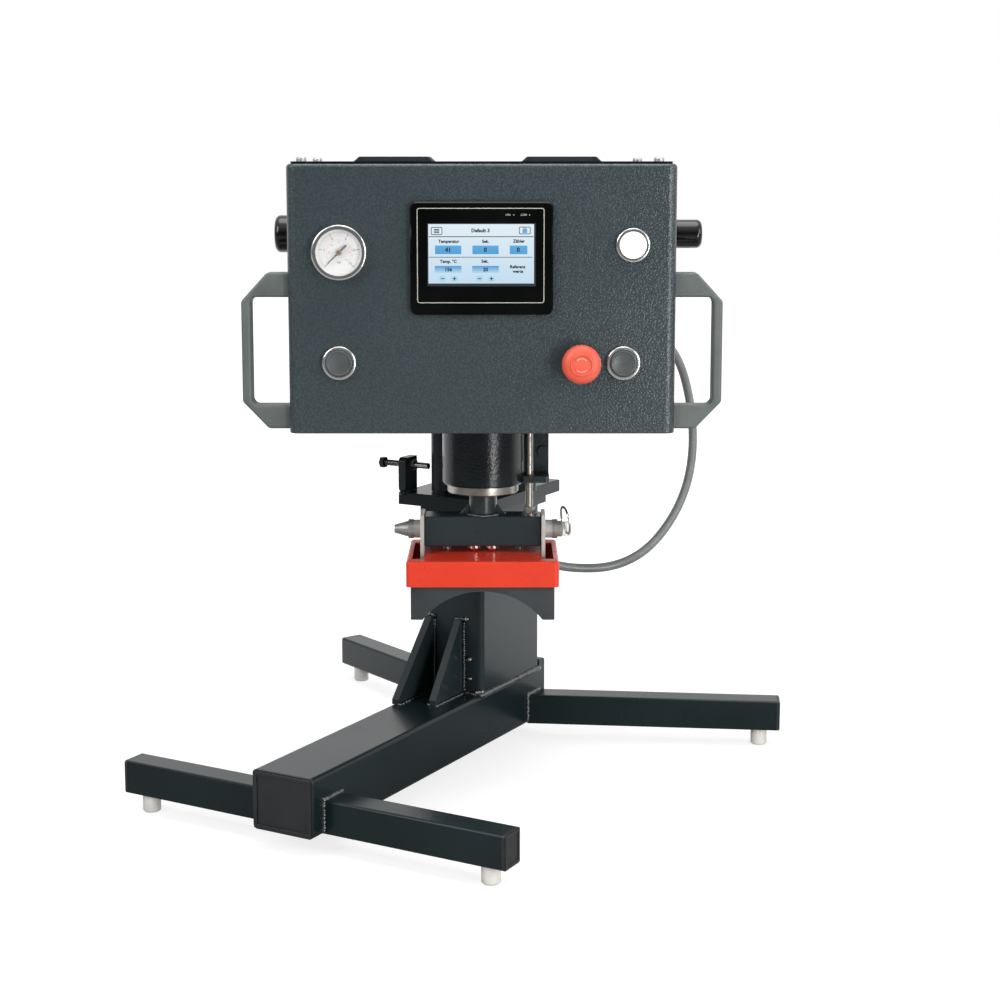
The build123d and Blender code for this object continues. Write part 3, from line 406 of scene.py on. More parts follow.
# The mast, the carrier plate and the guide bracket
# A square tube with welded bearing blocks turns round the post. The thick plate on its front
# holds the cylinder, and the bracket beside it guides the ram. Coated like the base.
mast_coat = patchy("mast_powder_coat", seen(30, 41, 44), seen(38, 50, 53), 0.2, 0.34, 14, 420, 0.35, 0.0004,
                   Specular_IOR_Level=0.4)
dress(mast_coat, "mast", "carrier_plate", "guide_bracket")


# The air cylinder
# A thick barrel in a glossy black enamel with an orange-peel skin, and a bare turned cap round
# the rod.
barrel_coat = patchy("barrel_enamel", seen(8, 15, 18), seen(15, 23, 26), 0.18, 0.28, 40, 430, 0.5, 0.0005,
                     Specular_IOR_Level=0.3)
dress(barrel_coat, "cylinder_barrel")
dress(turned_steel, "cylinder_caps")


# The control case
# Folded sheet steel with rounded front corners, in a dark blue-grey wrinkled enamel inside and
# out. The back is one flat panel and the floor is cut out round the mast and the cylinder.
def wrinkled_enamel(name, valley, top, smooth, rough):
    """An enamel of rounded wrinkles with soft valleys; in broad patches the wrinkle tops are painted paler, a
    painted highlight where light catches them.
    """
    material = bpy.data.materials.new(name)
    material.use_nodes = True
    nodes, links = material.node_tree.nodes, material.node_tree.links
    shader = nodes["Principled BSDF"]
    place = nodes.new("ShaderNodeTexCoord")
    bend = nodes.new("ShaderNodeTexNoise")
    bend.inputs["Scale"].default_value = 170
    bend.inputs["Detail"].default_value = 2
    links.new(place.outputs["Object"], bend.inputs["Vector"])
    pull = nodes.new("ShaderNodeVectorMath")
    pull.operation = "MULTIPLY_ADD"
    pull.inputs[1].default_value = (0.0022, 0.0022, 0.0022)
    links.new(bend.outputs["Color"], pull.inputs[0])
    links.new(place.outputs["Object"], pull.inputs[2])
    cells = nodes.new("ShaderNodeTexVoronoi")
    cells.feature = "SMOOTH_F1"
    cells.inputs["Scale"].default_value = 520
    cells.inputs["Smoothness"].default_value = 0.6
    links.new(pull.outputs["Vector"], cells.inputs["Vector"])
    rise = nodes.new("ShaderNodeMapRange")
    rise.inputs["From Min"].default_value = 0.62
    rise.inputs["From Max"].default_value = 0.15
    links.new(cells.outputs["Distance"], rise.inputs["Value"])
    broad = nodes.new("ShaderNodeTexNoise")
    broad.inputs["Scale"].default_value = 7
    broad.inputs["Detail"].default_value = 4
    links.new(place.outputs["Object"], broad.inputs["Vector"])
    # Painted highlight: the wrinkle tops, scaled by the broad noise, are mixed towards the paler top colour
    # as if lit.
    lit_tops = nodes.new("ShaderNodeMath")
    lit_tops.operation = "MULTIPLY"
    links.new(rise.outputs["Result"], lit_tops.inputs[0])
    links.new(broad.outputs["Fac"], lit_tops.inputs[1])
    tint = nodes.new("ShaderNodeMix")
    tint.data_type = "RGBA"
    tint.inputs["A"].default_value = valley
    tint.inputs["B"].default_value = top
    links.new(lit_tops.outputs["Value"], tint.inputs["Factor"])
    links.new(tint.outputs["Result"], shader.inputs["Base Color"])
    gloss = nodes.new("ShaderNodeMix")
    gloss.inputs["A"].default_value = smooth
    gloss.inputs["B"].default_value = rough
    links.new(broad.outputs["Fac"], gloss.inputs["Factor"])
    links.new(gloss.outputs["Result"], shader.inputs["Roughness"])
    relief = nodes.new("ShaderNodeBump")
    relief.inputs["Strength"].default_value = 0.4
    relief.inputs["Distance"].default_value = 0.0004
    links.new(rise.outputs["Result"], relief.inputs["Height"])
    links.new(relief.outputs["Normal"], shader.inputs["Normal"])
    return material


# The second colour is the painted highlight on the wrinkle tops; the first is the enamel itself.
case_enamel = wrinkled_enamel("case_enamel", seen(50, 60, 64), seen(75, 86, 90), 0.22, 0.4)
dress(case_enamel, "case_shell", "rear_panel", "case_floor")


# The lid
# A flat sheet with two low pressed panels, in a smoother blue-black, held by plated screws.
lid_coat = patchy("lid_coat", seen(14, 21, 26), seen(20, 28, 34), 0.4, 0.5, 16, 500, 0.15, 0.0002,
                  Specular_IOR_Level=0.05)
dress(lid_coat, "case_lid")
chrome = patchy("polished_chrome", seen(232, 232, 230), seen(214, 214, 212), 0.07, 0.16, 60, 1500,
                0.04, 0.0001, Metallic=1.0)
bright_plate = patchy("bright_plated_steel", seen(206, 203, 197), seen(184, 181, 175), 0.3, 0.45, 120, 1800,
                      0.1, 0.0001, Metallic=0.35)
dress(bright_plate, "lid_screws")


def bounds_of(name):
    """The lowest and highest corner of a frame part."""
    low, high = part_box(name)
    return Vector(low), Vector(high)


# Painted shade: a thin black hex on top of each lid screw stands in for the shade inside its socket.
painted_socket_shade = patchy("socket_shadow", seen(12, 12, 12), seen(20, 20, 20), 0.5, 0.7, 80, 900)
lid_screw_top = bounds_of("lid_screws")[1].z
lid_screw_points = ((-0.158, -0.215), (0.155, -0.215), (-0.157, -0.080), (0.146, -0.080))
socket_depth = 0.0009
sockets = []
for screw_x, screw_y in lid_screw_points:
    bpy.ops.object.select_all(action="DESELECT")
    bpy.ops.mesh.primitive_circle_add(vertices=6, radius=0.0021, fill_type="NGON",
                                      location=(screw_x, screw_y, lid_screw_top - socket_depth))
    recess = bpy.context.active_object
    bpy.ops.object.mode_set(mode="EDIT")
    bpy.ops.mesh.select_all(action="SELECT")
    bpy.ops.mesh.extrude_region_move(TRANSFORM_OT_translate={"value": (0, 0, 0.00095)})
    bpy.ops.mesh.inset(thickness=0.0004)
    face_outward()
    bpy.ops.object.mode_set(mode="OBJECT")
    sockets.append(recess)
settle(join(sockets), "lid_screw_sockets", "head", painted_socket_shade)


# The pressure gauge
# A chromed steel rim round a printed white dial, black outside and red inside, with a black
# needle on a brass hub, all under a flat glass.
rim_steel = patchy("polished_gauge_rim", seen(236, 236, 234), seen(222, 222, 220), 0.16, 0.26, 60, 1500, 0.05,
                   0.0001, Metallic=1.0)
dress(rim_steel, "gauge_housing")
dial_white = patchy("dial_print_white", seen(238, 238, 236), seen(228, 229, 229), 0.4, 0.5, 40, 900, 0.02)
dress(dial_white, "gauge_dial")
needle_black = patchy("needle_enamel", seen(16, 17, 19), seen(26, 27, 30), 0.3, 0.4, 80, 900, 0.03)
dress(needle_black, "gauge_needle")
gauge_x, gauge_z = -0.124, 0.5168
dial_front = bounds_of("gauge_dial")[0].y


def flat_print(corners, y, rounding=0.0, rim=0.0):
    """A flat patch of print on an upright front, from x and z limits; a rim leaves only its edge."""
    left, right, low, high = corners
    bpy.ops.object.select_all(action="DESELECT")
    bpy.ops.mesh.primitive_plane_add(size=1, location=((left + right) / 2, y, (low + high) / 2),
                                     rotation=(math.pi / 2, 0, 0))
    patch = bpy.context.active_object
    patch.scale = (right - left, high - low, 1)
    apply_place(patch)
    bpy.ops.object.mode_set(mode="EDIT")
    bpy.ops.mesh.select_all(action="SELECT")
    if rounding:
        bpy.ops.mesh.bevel(offset=rounding, segments=5, affect="VERTICES")
    if rim:
        bpy.ops.mesh.select_all(action="SELECT")
        bpy.ops.mesh.inset(thickness=rim)
        bpy.ops.mesh.delete(type="FACE")
    bpy.ops.object.mode_set(mode="OBJECT")
    return patch


def lettering(words, x, z, y, height, turn=0.0, weight=0.02):
    """Printed words or digits, centred on a point of an upright front."""
    bpy.ops.object.select_all(action="DESELECT")
    bpy.ops.object.text_add(location=(x, y, z), rotation=(math.pi / 2, 0, 0))
    text = bpy.context.active_object
    text.data.body = words
    text.data.size = height / 0.7
    text.data.align_x = "CENTER"
    text.data.align_y = "CENTER"
    text.data.resolution_u = 3
    text.data.offset = height * weight
    text.rotation_euler = (math.pi / 2, turn, 0)
    bpy.ops.object.convert(target="MESH")
    text = bpy.context.active_object
    apply_place(text)
    return text


def dial_point(angle, reach):
    """A point of the dial, by the needle's angle from the right, turning up."""
    return gauge_x + reach * math.cos(angle), gauge_z + reach * math.sin(angle)


def dial_bar(angle, inner, outer, width):
    """A short radial stroke of the dial's scale."""
    x, z = dial_point(angle, (inner + outer) / 2)
    half = (outer - inner) / 2
    stroke = flat_print((-half, half, -width / 2, width / 2), 0)
    stroke.matrix_world = Matrix.Translation((x, print_y, z)) @ Matrix.Rotation(-angle, 4, "Y")
    apply_place(stroke)
    return stroke


scale_start, scale_end = math.radians(225), math.radians(-45)
ink_black = patchy("dial_ink_black", seen(70, 72, 77), seen(86, 88, 93), 0.5, 0.6, 80, 900, 0.02)
ink_red = patchy("dial_ink_red", seen(212, 118, 110), seen(220, 138, 130), 0.5, 0.6, 80, 900, 0.02)
print_y = dial_front - 0.00006
bar_ticks, bar_figures = 0.0182, 0.0132
red_ticks, red_figures = 0.0107, 0.0088
black_marks, red_marks = [], []
for division in range(51):
    angle = scale_start + (scale_end - scale_start) * division / 50
    major = division % 10 == 0
    middle = division % 5 == 0
    inner = 0.0150 if major else 0.0162 if middle else 0.0168
    black_marks.append(dial_bar(angle, inner, bar_ticks, 0.0005 if major else 0.0002))
    if major:
        figure_x, figure_z = dial_point(angle, bar_figures)
        black_marks.append(lettering(str(division // 5), figure_x, figure_z, print_y, 0.0021))
for division in range(61):
    angle = scale_start + (scale_end - scale_start) * division / 60
    red_marks.append(dial_bar(angle, red_ticks, 0.0117 if division % 10 else 0.0112, 0.00018))
    if division % 10 == 0 and division:
        figure_x, figure_z = dial_point(angle, red_figures)
        red_marks.append(lettering(str(division // 10 * 25), figure_x, figure_z, print_y, 0.0014))
black_marks.append(lettering("bar", gauge_x, gauge_z - 0.0085, print_y, 0.0019))
settle(join(black_marks), "gauge_scale", "head", ink_black)
settle(join(red_marks), "gauge_inner_scale", "head", ink_red)

brass_hub = patchy("brass_hub", seen(196, 164, 110), seen(176, 146, 96), 0.2, 0.35, 200, 1500, 0.05, 0.0001,
                   Metallic=1.0)
bpy.ops.object.select_all(action="DESELECT")
bpy.ops.mesh.primitive_cylinder_add(vertices=32, radius=0.0023, depth=0.0012,
                                    location=(gauge_x, -0.2404, gauge_z), rotation=(math.pi / 2, 0, 0))
hub = bpy.context.active_object
hub_edge = hub.modifiers.new("hub_edge", "BEVEL")
hub_edge.width = 0.0005
hub_edge.segments = 3
bpy.ops.object.modifier_apply(modifier="hub_edge")
bpy.ops.object.shade_smooth_by_angle(angle=math.radians(40))
settle(hub, "needle_hub", "needle", brass_hub)

glass = bpy.data.materials.new("clear_gauge_glass")
glass.use_nodes = True
glass_shader = glass.node_tree.nodes["Principled BSDF"]
glass_shader.inputs["Base Color"].default_value = (1, 1, 1, 1)
glass_shader.inputs["Roughness"].default_value = 0.03
glass_shader.inputs["IOR"].default_value = 1.45
glass_shader.inputs["Alpha"].default_value = 0.1
bpy.ops.object.select_all(action="DESELECT")
bpy.ops.mesh.primitive_circle_add(vertices=64, radius=0.0201, fill_type="NGON",
                                  location=(gauge_x, -0.24135, gauge_z), rotation=(math.pi / 2, 0, 0))
pane = bpy.context.active_object
bpy.ops.object.mode_set(mode="EDIT")
bpy.ops.mesh.select_all(action="SELECT")
bpy.ops.mesh.extrude_region_move(TRANSFORM_OT_translate={"value": (0, 0.0007, 0)})
face_outward()
bpy.ops.object.mode_set(mode="OBJECT")
settle(pane, "gauge_glass", "head", glass)


# The touch panel
# A glossy black moulding with a thin printed frame line, and a lit display that shows the
# temperature, the time and a counter as dark figures on blue fields.
panel_gloss = patchy("panel_gloss_black", seen(3, 4, 4), seen(8, 9, 9), 0.12, 0.22, 20, 600, 0.03,
                     Specular_IOR_Level=0.2)
dress(panel_gloss, "touch_panel")
border_grey = patchy("display_border_grey", seen(40, 42, 44), seen(48, 50, 52), 0.25, 0.35, 20, 600, 0.03)
dress(border_grey, "touch_screen")
line_print = patchy("frame_line_print", seen(176, 178, 166), seen(190, 190, 180), 0.4, 0.5, 80, 900, 0.02)
panel_face = bounds_of("touch_panel")[0].y - 0.00005
settle(flat_print((-0.0561, 0.0544, 0.4731, 0.5554), panel_face, 0.0022, 0.0007), "panel_frame_line", "head",
       line_print)
label_y = panel_face - 0.00003
labels = [lettering(words, x, 0.5494, label_y, 0.0016) for words, x in (("CPU", 0.0229), ("COM", 0.0365))]
labels += [flat_print((x - 0.0004, x + 0.0004, 0.5490, 0.5498), label_y) for x in (0.0278, 0.0415)]
settle(join(labels), "panel_labels", "head", line_print)

display_left, display_right, display_low, display_high = -0.0462, 0.0454, 0.4902, 0.5415
display_y = bounds_of("touch_screen")[0].y - 0.00006
layer_step = 0.00004


def lit(name, low_colour, high_colour, bottom, top):
    """A lit surface whose colour changes evenly from its bottom to its top."""
    material = bpy.data.materials.new(name)
    material.use_nodes = True
    nodes, links = material.node_tree.nodes, material.node_tree.links
    shader = nodes["Principled BSDF"]
    place = nodes.new("ShaderNodeTexCoord")
    axes = nodes.new("ShaderNodeSeparateXYZ")
    links.new(place.outputs["Object"], axes.inputs["Vector"])
    share = nodes.new("ShaderNodeMapRange")
    share.inputs["From Min"].default_value = bottom
    share.inputs["From Max"].default_value = top
    links.new(axes.outputs["Z"], share.inputs["Value"])
    tint = nodes.new("ShaderNodeMix")
    tint.data_type = "RGBA"
    tint.inputs["A"].default_value = low_colour
    tint.inputs["B"].default_value = high_colour
    links.new(share.outputs["Result"], tint.inputs["Factor"])
    links.new(tint.outputs["Result"], shader.inputs["Emission Color"])
    shader.inputs["Emission Strength"].default_value = 0.95
    shader.inputs["Base Color"].default_value = (0.02, 0.02, 0.02, 1)
    shader.inputs["Roughness"].default_value = 0.25
    return material


def display_x(share):
    """How far across a share of the display's width lies."""
    return display_left + share * (display_right - display_left)


def display_z(share):
    """How high a share of the display's height from its top lies."""
    return display_high - share * (display_high - display_low)


def display_patch(left, right, top, bottom, layer, rounding=0.0, rim=0.0):
    """A patch of the display, by shares of its width and of its height from the top."""
    return flat_print((display_x(left), display_x(right), display_z(bottom), display_z(top)),
                      display_y - layer * layer_step, rounding, rim)


def display_words(words, across, down, height):
    """Words on the display, above its other layers."""
    words_y = display_y - 3 * layer_step
    return lettering(words, display_x(across), display_z(down), words_y, height, weight=0.06)


screen_light = lit("display_backlight", seen(196, 222, 240), seen(226, 240, 248), display_low, display_high)
field_blue = lit("display_field_blue", seen(70, 156, 214), seen(92, 172, 224), 0.515, 0.524)
fade_blue = lit("display_fading_field", seen(176, 216, 240), seen(58, 148, 210), 0.4995, 0.5055)
display_ink = patchy("display_ink", seen(12, 17, 30), seen(20, 26, 40), 0.4, 0.5, 80, 900, 0.02)
settle(display_patch(0, 1, 0, 1, 0), "display_light", "head", screen_light)
settle(join([display_patch(left, right, 0.360, 0.505, 1)
             for left, right in ((0.063, 0.312), (0.417, 0.665), (0.770, 0.937))]
            + [display_patch(0.890, 0.935, 0.085, 0.150, 1, 0.0006)]),
       "display_fields", "head", field_blue)
key_middles = (0.134, 0.246, 0.482, 0.597)
settle(join([display_patch(0.060, 0.313, 0.703, 0.821, 1), display_patch(0.415, 0.667, 0.703, 0.821, 1)]
            + [display_patch(at - 0.033, at + 0.033, 0.870, 0.972, 1, 0.0020) for at in key_middles]),
       "display_fading_fields", "head", fade_blue)
dark_strokes = [
    display_patch(0.005, 0.995, 0.205, 0.218, 2), display_patch(0.005, 0.985, 0.552, 0.562, 2),
    display_patch(0.025, 0.133, 0.050, 0.182, 2, 0.0012, 0.0006),
    display_patch(0.857, 0.967, 0.044, 0.170, 2, 0.0012, 0.0006),
    display_words("Default 3", 0.494, 0.110, 0.0030), display_words("Temperatur", 0.193, 0.292, 0.0026),
    display_words("Sek.", 0.541, 0.292, 0.0026), display_words("Zähler", 0.857, 0.288, 0.0026),
    display_words("41", 0.187, 0.435, 0.0036), display_words("0", 0.539, 0.435, 0.0036),
    display_words("0", 0.851, 0.435, 0.0036), display_words("Temp. °C", 0.189, 0.630, 0.0026),
    display_words("Sek.", 0.535, 0.626, 0.0026), display_words("156", 0.189, 0.768, 0.0030),
    display_words("20", 0.541, 0.768, 0.0030), display_words("Referenz", 0.845, 0.720, 0.0026),
    display_words("werte", 0.848, 0.797, 0.0026)]
dark_strokes += [display_patch(0.054, 0.104, top, top + 0.016, 2) for top in (0.082, 0.108, 0.134)]
dark_strokes += [display_patch(at - 0.017, at + 0.017, 0.912, 0.926, 3) for at in key_middles]
dark_strokes += [display_patch(at - 0.004, at + 0.004, 0.889, 0.949, 3) for at in key_middles[1::2]]
dark_strokes += [display_patch(0.898, 0.927, 0.062, 0.092, 2, 0.0006, 0.0004)]
settle(join(dark_strokes), "display_writing", "head", display_ink)


# The push buttons and the glowing white button
# Chromed rims screwed into the front, each with a dished cap on a sprung stem: two dark grey
# start buttons low on the panel and one white button at the top right, whose glow is painted light.
dress(rim_steel, "button_bezels")
dress(plug_plastic, "switch_bodies", "power_inlet", "cable_gland")
button_grey = patchy("start_button_plastic", seen(72, 77, 78), seen(82, 87, 88), 0.3, 0.42, 60, 900, 0.06)
dress(button_grey, "start_button_left", "start_button_right")
white_lens_glow = bpy.data.materials.new("white_lens_painted_glow")
white_lens_glow.use_nodes = True
lens_nodes, lens_links = white_lens_glow.node_tree.nodes, white_lens_glow.node_tree.links
lens_shader = lens_nodes["Principled BSDF"]
lens_shader.inputs["Base Color"].default_value = seen(248, 248, 244)
lens_shader.inputs["Roughness"].default_value = 0.25
# Painted highlight: the lens glows to stand in for the blown-out shine on the white button.
lens_shader.inputs["Emission Color"].default_value = seen(255, 254, 250)
lens_shader.inputs["Emission Strength"].default_value = 0.55
lens_place = lens_nodes.new("ShaderNodeTexCoord")
lens_ripples = lens_nodes.new("ShaderNodeTexNoise")
lens_ripples.inputs["Scale"].default_value = 500
lens_relief = lens_nodes.new("ShaderNodeBump")
lens_relief.inputs["Strength"].default_value = 0.1
lens_relief.inputs["Distance"].default_value = 0.0002
lens_links.new(lens_place.outputs["Object"], lens_ripples.inputs["Vector"])
lens_links.new(lens_ripples.outputs["Fac"], lens_relief.inputs["Height"])
lens_links.new(lens_relief.outputs["Normal"], lens_shader.inputs["Normal"])
dress(white_lens_glow, "lamp_button")


cap_face, stop_face = -0.2397, -0.2601


def cap_ring(name, x, z, body, material):
    """The raised ring round the dish of a button's cap."""
    bpy.ops.object.select_all(action="DESELECT")
    bpy.ops.mesh.primitive_torus_add(major_radius=0.0104, minor_radius=0.0011, major_segments=64,
                                     minor_segments=12, location=(x, cap_face, z),
                                     rotation=(math.pi / 2, 0, 0))
    ring = bpy.context.active_object
    bpy.ops.object.mode_set(mode="EDIT")
    bpy.ops.mesh.select_all(action="SELECT")
    bpy.ops.transform.resize(value=(1, 0.7, 1))
    bpy.ops.object.mode_set(mode="OBJECT")
    bpy.ops.object.shade_smooth()
    settle(ring, name, body, material)


cap_ring("left_start_ring", -0.125, 0.4202, "left_start", button_grey)
cap_ring("right_start_ring", 0.124, 0.4202, "right_start", button_grey)
cap_ring("lamp_ring", 0.1315, 0.5232, "lamp", white_lens_glow)


# The emergency stop
# A coral red mushroom head, moulded with a shallow sunk face and two arrow marks for the twist
# that releases it, on a black collar.
stop_red = patchy("stop_red_plastic", seen(225, 89, 67), seen(232, 104, 81), 0.28, 0.42, 50, 900, 0.06,
                  0.0002, Specular_IOR_Level=0.35)
dress(stop_red, "estop_mushroom")
stop_x, stop_z = 0.0866, 0.4206
bpy.ops.object.select_all(action="DESELECT")
bpy.ops.mesh.primitive_torus_add(major_radius=0.0092, minor_radius=0.0009, major_segments=72,
                                 minor_segments=12, location=(stop_x, stop_face, stop_z),
                                 rotation=(math.pi / 2, 0, 0))
face_ring = bpy.context.active_object
bpy.ops.object.shade_smooth()
settle(face_ring, "stop_face_ring", "estop", stop_red)
grips = []
grip_count, grip_reach, arrow_reach = 24, 0.0164, 0.0058
for step in range(grip_count):
    angle = step * math.tau / grip_count
    bpy.ops.object.select_all(action="DESELECT")
    bpy.ops.mesh.primitive_ico_sphere_add(subdivisions=2, radius=0.0009, location=(
        stop_x + grip_reach * math.cos(angle), -0.2508, stop_z + grip_reach * math.sin(angle)))
    grip = bpy.context.active_object
    grip.scale = (1, 1.7, 1)
    bpy.ops.object.shade_smooth()
    grips.append(grip)
settle(join(grips), "stop_grips", "estop", stop_red)
stop_print = patchy("stop_print", seen(226, 190, 182), seen(214, 176, 168), 0.4, 0.5, 60, 900, 0.02)
arrows = []
for turn in (0, math.pi):
    for step in range(7):
        angle = turn + math.radians(50 + 13 * step)
        arrow = flat_print((-0.0007, 0.0007, -0.00035, 0.00035), 0)
        arrow_place = Matrix.Translation((
            stop_x + arrow_reach * math.cos(angle), -0.26006, stop_z + arrow_reach * math.sin(angle)))
        arrow.matrix_world = arrow_place @ Matrix.Rotation(-angle - math.pi / 2, 4, "Y")
        apply_place(arrow)
        arrows.append(arrow)
settle(join(arrows), "stop_arrow_marks", "estop", stop_print)


# The side knobs and the handles
# Smooth black knobs for the regulator on the left and the flow valve on the right, and bow
# handles of dark grey glass-filled plastic, bolted on from inside the case.
knob_black = patchy("knob_black", seen(12, 13, 14), seen(18, 19, 20), 0.1, 0.2, 60, 900, 0.08)
dress(knob_black, "regulator_knob", "flow_knob")
handle_grey = patchy("handle_plastic", seen(86, 93, 91), seen(98, 105, 102), 0.4, 0.55, 40, 1500, 0.3, 0.0002)
dress(handle_grey, "handle_left", "handle_right")


# The fittings on the back
# A nickel-plated push-in fitting for the air hose; the mains socket and the gland are black.
nickel = patchy("nickel_plate", seen(188, 186, 176), seen(164, 162, 152), 0.18, 0.32, 120, 1500, 0.06, 0.0001,
                Metallic=1.0)
dress(nickel, "air_inlet", "heater_gland")


# The ram
# The piston rod, the crossbar that it ends in, the guide rod beside it, two chromed levelling
# screws and the locking pin. The rod and the crossbar are coated; the guide rod is bare.
dress(turned_steel, "guide_rod")
dress(mast_coat, "ram_bar", "ram_rod")
dress(chrome, "levelling_screws", "pull_ring")
pin_steel = patchy("dull_pin_steel", seen(176, 176, 171), seen(148, 148, 143), 0.3, 0.48, 150, 1800, 0.12,
                   0.0001, Metallic=0.6)
dress(pin_steel, "locking_pin", "pin_rings")
dress(bright_plate, "platen_ears")
ram_y, bar_top, foot_radius = -0.151, 0.2703, 0.0135


def rod_foot(angle):
    """A point where the ram's rod meets the crossbar."""
    return Vector((foot_radius * math.cos(angle), ram_y + foot_radius * math.sin(angle), bar_top))


foot_turns = [step * math.tau / 15 for step in range(15)]
weld("rod_foot_weld", [(rod_foot(turn), rod_foot(turn + 0.42)) for turn in foot_turns], 0.0045, "ram")


# The heated platen
# A cast aluminium block with an arched, dark-coated underside, the foil-faced element and the
# mineral board on it, and a glossy red sheet cover over them, folded and spot welded.
platen_coat = patchy("platen_coat", seen(42, 48, 50), seen(54, 60, 62), 0.36, 0.55, 26, 420, 0.3, 0.0003)
dress(platen_coat, "heating_platen")
foil = patchy("element_foil", seen(190, 190, 186), seen(170, 170, 166), 0.25, 0.4, 90, 700, 0.3, 0.0003,
              Metallic=0.9)
dress(foil, "heating_element")
board = patchy("mineral_board", seen(186, 170, 132), seen(166, 150, 116), 0.7, 0.9, 60, 600, 0.4, 0.0003)
dress(board, "insulation_board")
cover_red = patchy("cover_red_paint", seen(226, 64, 41), seen(220, 58, 37), 0.24, 0.34, 18, 420, 0.05, 0.0002,
                   Specular_IOR_Level=0.3)
dress(cover_red, "heater_cover")
rubber = patchy("black_rubber", seen(20, 20, 20), seen(28, 28, 28), 0.6, 0.75, 90, 1200, 0.15)


# The heater's conduit
# A grey sheathed conduit from the gland on the back of the case, down behind the right
# handle, to the gland at the back of the cover.
conduit_grey = patchy("conduit_sheath", seen(108, 112, 111), seen(122, 126, 124), 0.2, 0.3, 40, 900, 0.08)
conduit_route = [
    (0.118, 0.066, 0.428), (0.118, 0.108, 0.428), (0.150, 0.130, 0.424), (0.203, 0.103, 0.407),
    (0.222, 0.070, 0.318), (0.205, 0.022, 0.246), (0.150, -0.022, 0.191), (0.066, -0.038, 0.193),
    (0.045, -0.054, 0.2234), (0.045, -0.0937, 0.2234)]
conduit_curve = bpy.data.curves.new("conduit_line", "CURVE")
conduit_curve.dimensions = "3D"
conduit_line = conduit_curve.splines.new("NURBS")
conduit_line.points.add(len(conduit_route) - 1)
for point, place in zip(conduit_line.points, conduit_route):
    point.co = (*place, 1)
conduit_line.use_endpoint_u = True
conduit_line.order_u = 3
conduit_line.resolution_u = 14
conduit = bpy.data.objects.new("heater_conduit", conduit_curve)
bpy.context.scene.collection.objects.link(conduit)
route_mesh = bpy.data.meshes.new_from_object(conduit)
bpy.data.meshes.remove(route_mesh)
conduit_curve.bevel_depth = 0.0045
conduit_curve.bevel_resolution = 5
only(conduit)
bpy.ops.object.convert(target="MESH")
conduit = bpy.context.active_object
bpy.ops.object.shade_smooth()
conduit.data.materials.clear()
conduit.data.materials.append(conduit_grey)
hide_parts("heater_cable")
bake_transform(conduit)


def relief_sleeve(name, start, length, wide, narrow, body):
    """A ribbed rubber sleeve that tapers off along the conduit, pointing backwards."""
    bpy.ops.object.select_all(action="DESELECT")
    bpy.ops.mesh.primitive_cylinder_add(vertices=28, radius=wide, depth=0.002, end_fill_type="NOTHING",
                                        location=start + Vector((0, 0.001, 0)), rotation=(math.pi / 2, 0, 0))
    sleeve = bpy.context.active_object
    apply_place(sleeve)
    bpy.ops.object.mode_set(mode="EDIT")
    bpy.ops.mesh.select_mode(type="EDGE")
    bpy.ops.mesh.select_all(action="DESELECT")
    bpy.ops.object.mode_set(mode="OBJECT")
    far = max(vertex.co.y for vertex in sleeve.data.vertices)
    for edge in sleeve.data.edges:
        edge.select = all(sleeve.data.vertices[index].co.y > far - 0.0001 for index in edge.vertices)
    bpy.ops.object.mode_set(mode="EDIT")
    ribs = 7
    size = 1.0
    for rib in range(ribs):
        share = 1 - (1 - narrow / wide) * (rib + 1) / ribs
        for step, factor in ((length / ribs * 0.15, share * 0.9), (length / ribs * 0.25, share * 0.9),
                             (length / ribs * 0.15, share), (length / ribs * 0.45, share)):
            bpy.ops.mesh.extrude_edges_move(TRANSFORM_OT_translate={"value": (0, step, 0)})
            bpy.ops.transform.resize(value=(factor / size, 1, factor / size))
            size = factor
    bpy.ops.object.mode_set(mode="OBJECT")
    bpy.ops.object.shade_smooth_by_angle(angle=math.radians(50))
    settle(sleeve, name, body, rubber)


relief_sleeve("rear_relief_sleeve", Vector((0.118, 0.0785, 0.428)), 0.022, 0.0068, 0.0050, "head")


# The studio
# A pale floor, soft light from both sides and above, and the camera at the photograph's place.
bpy.ops.object.select_all(action="DESELECT")
bpy.ops.mesh.primitive_plane_add(size=14, location=(0, 0, -0.0004))
floor = bpy.context.active_object
floor.name = "studio_floor"
floor_paper = bpy.data.materials.new("studio_paper")
floor_paper.use_nodes = True
paper_nodes, paper_links = floor_paper.node_tree.nodes, floor_paper.node_tree.links
paper_shader = paper_nodes["Principled BSDF"]
paper_shader.inputs["Base Color"].default_value = (0.36, 0.36, 0.36, 1)
paper_shader.inputs["Roughness"].default_value = 0.9
paper_shader.inputs["Emission Color"].default_value = (1, 1, 1, 1)


def node_sum(nodes, links, operation, first, second):
    """A Math node between two sockets, or between a socket and a number."""
    step = nodes.new("ShaderNodeMath")
    step.operation = operation
    links.new(first, step.inputs[0])
    if isinstance(second, (int, float)):
        step.inputs[1].default_value = second
    else:
        links.new(second, step.inputs[1])
    return step.outputs["Value"]


def background_rays(nodes, links):
    """The camera's rays, and the rays of gloss and glass that show the background as well."""
    rays = nodes.new("ShaderNodeLightPath").outputs
    mirrored = node_sum(nodes, links, "MAXIMUM", rays["Is Glossy Ray"], rays["Is Transmission Ray"])
    return rays["Is Camera Ray"], mirrored


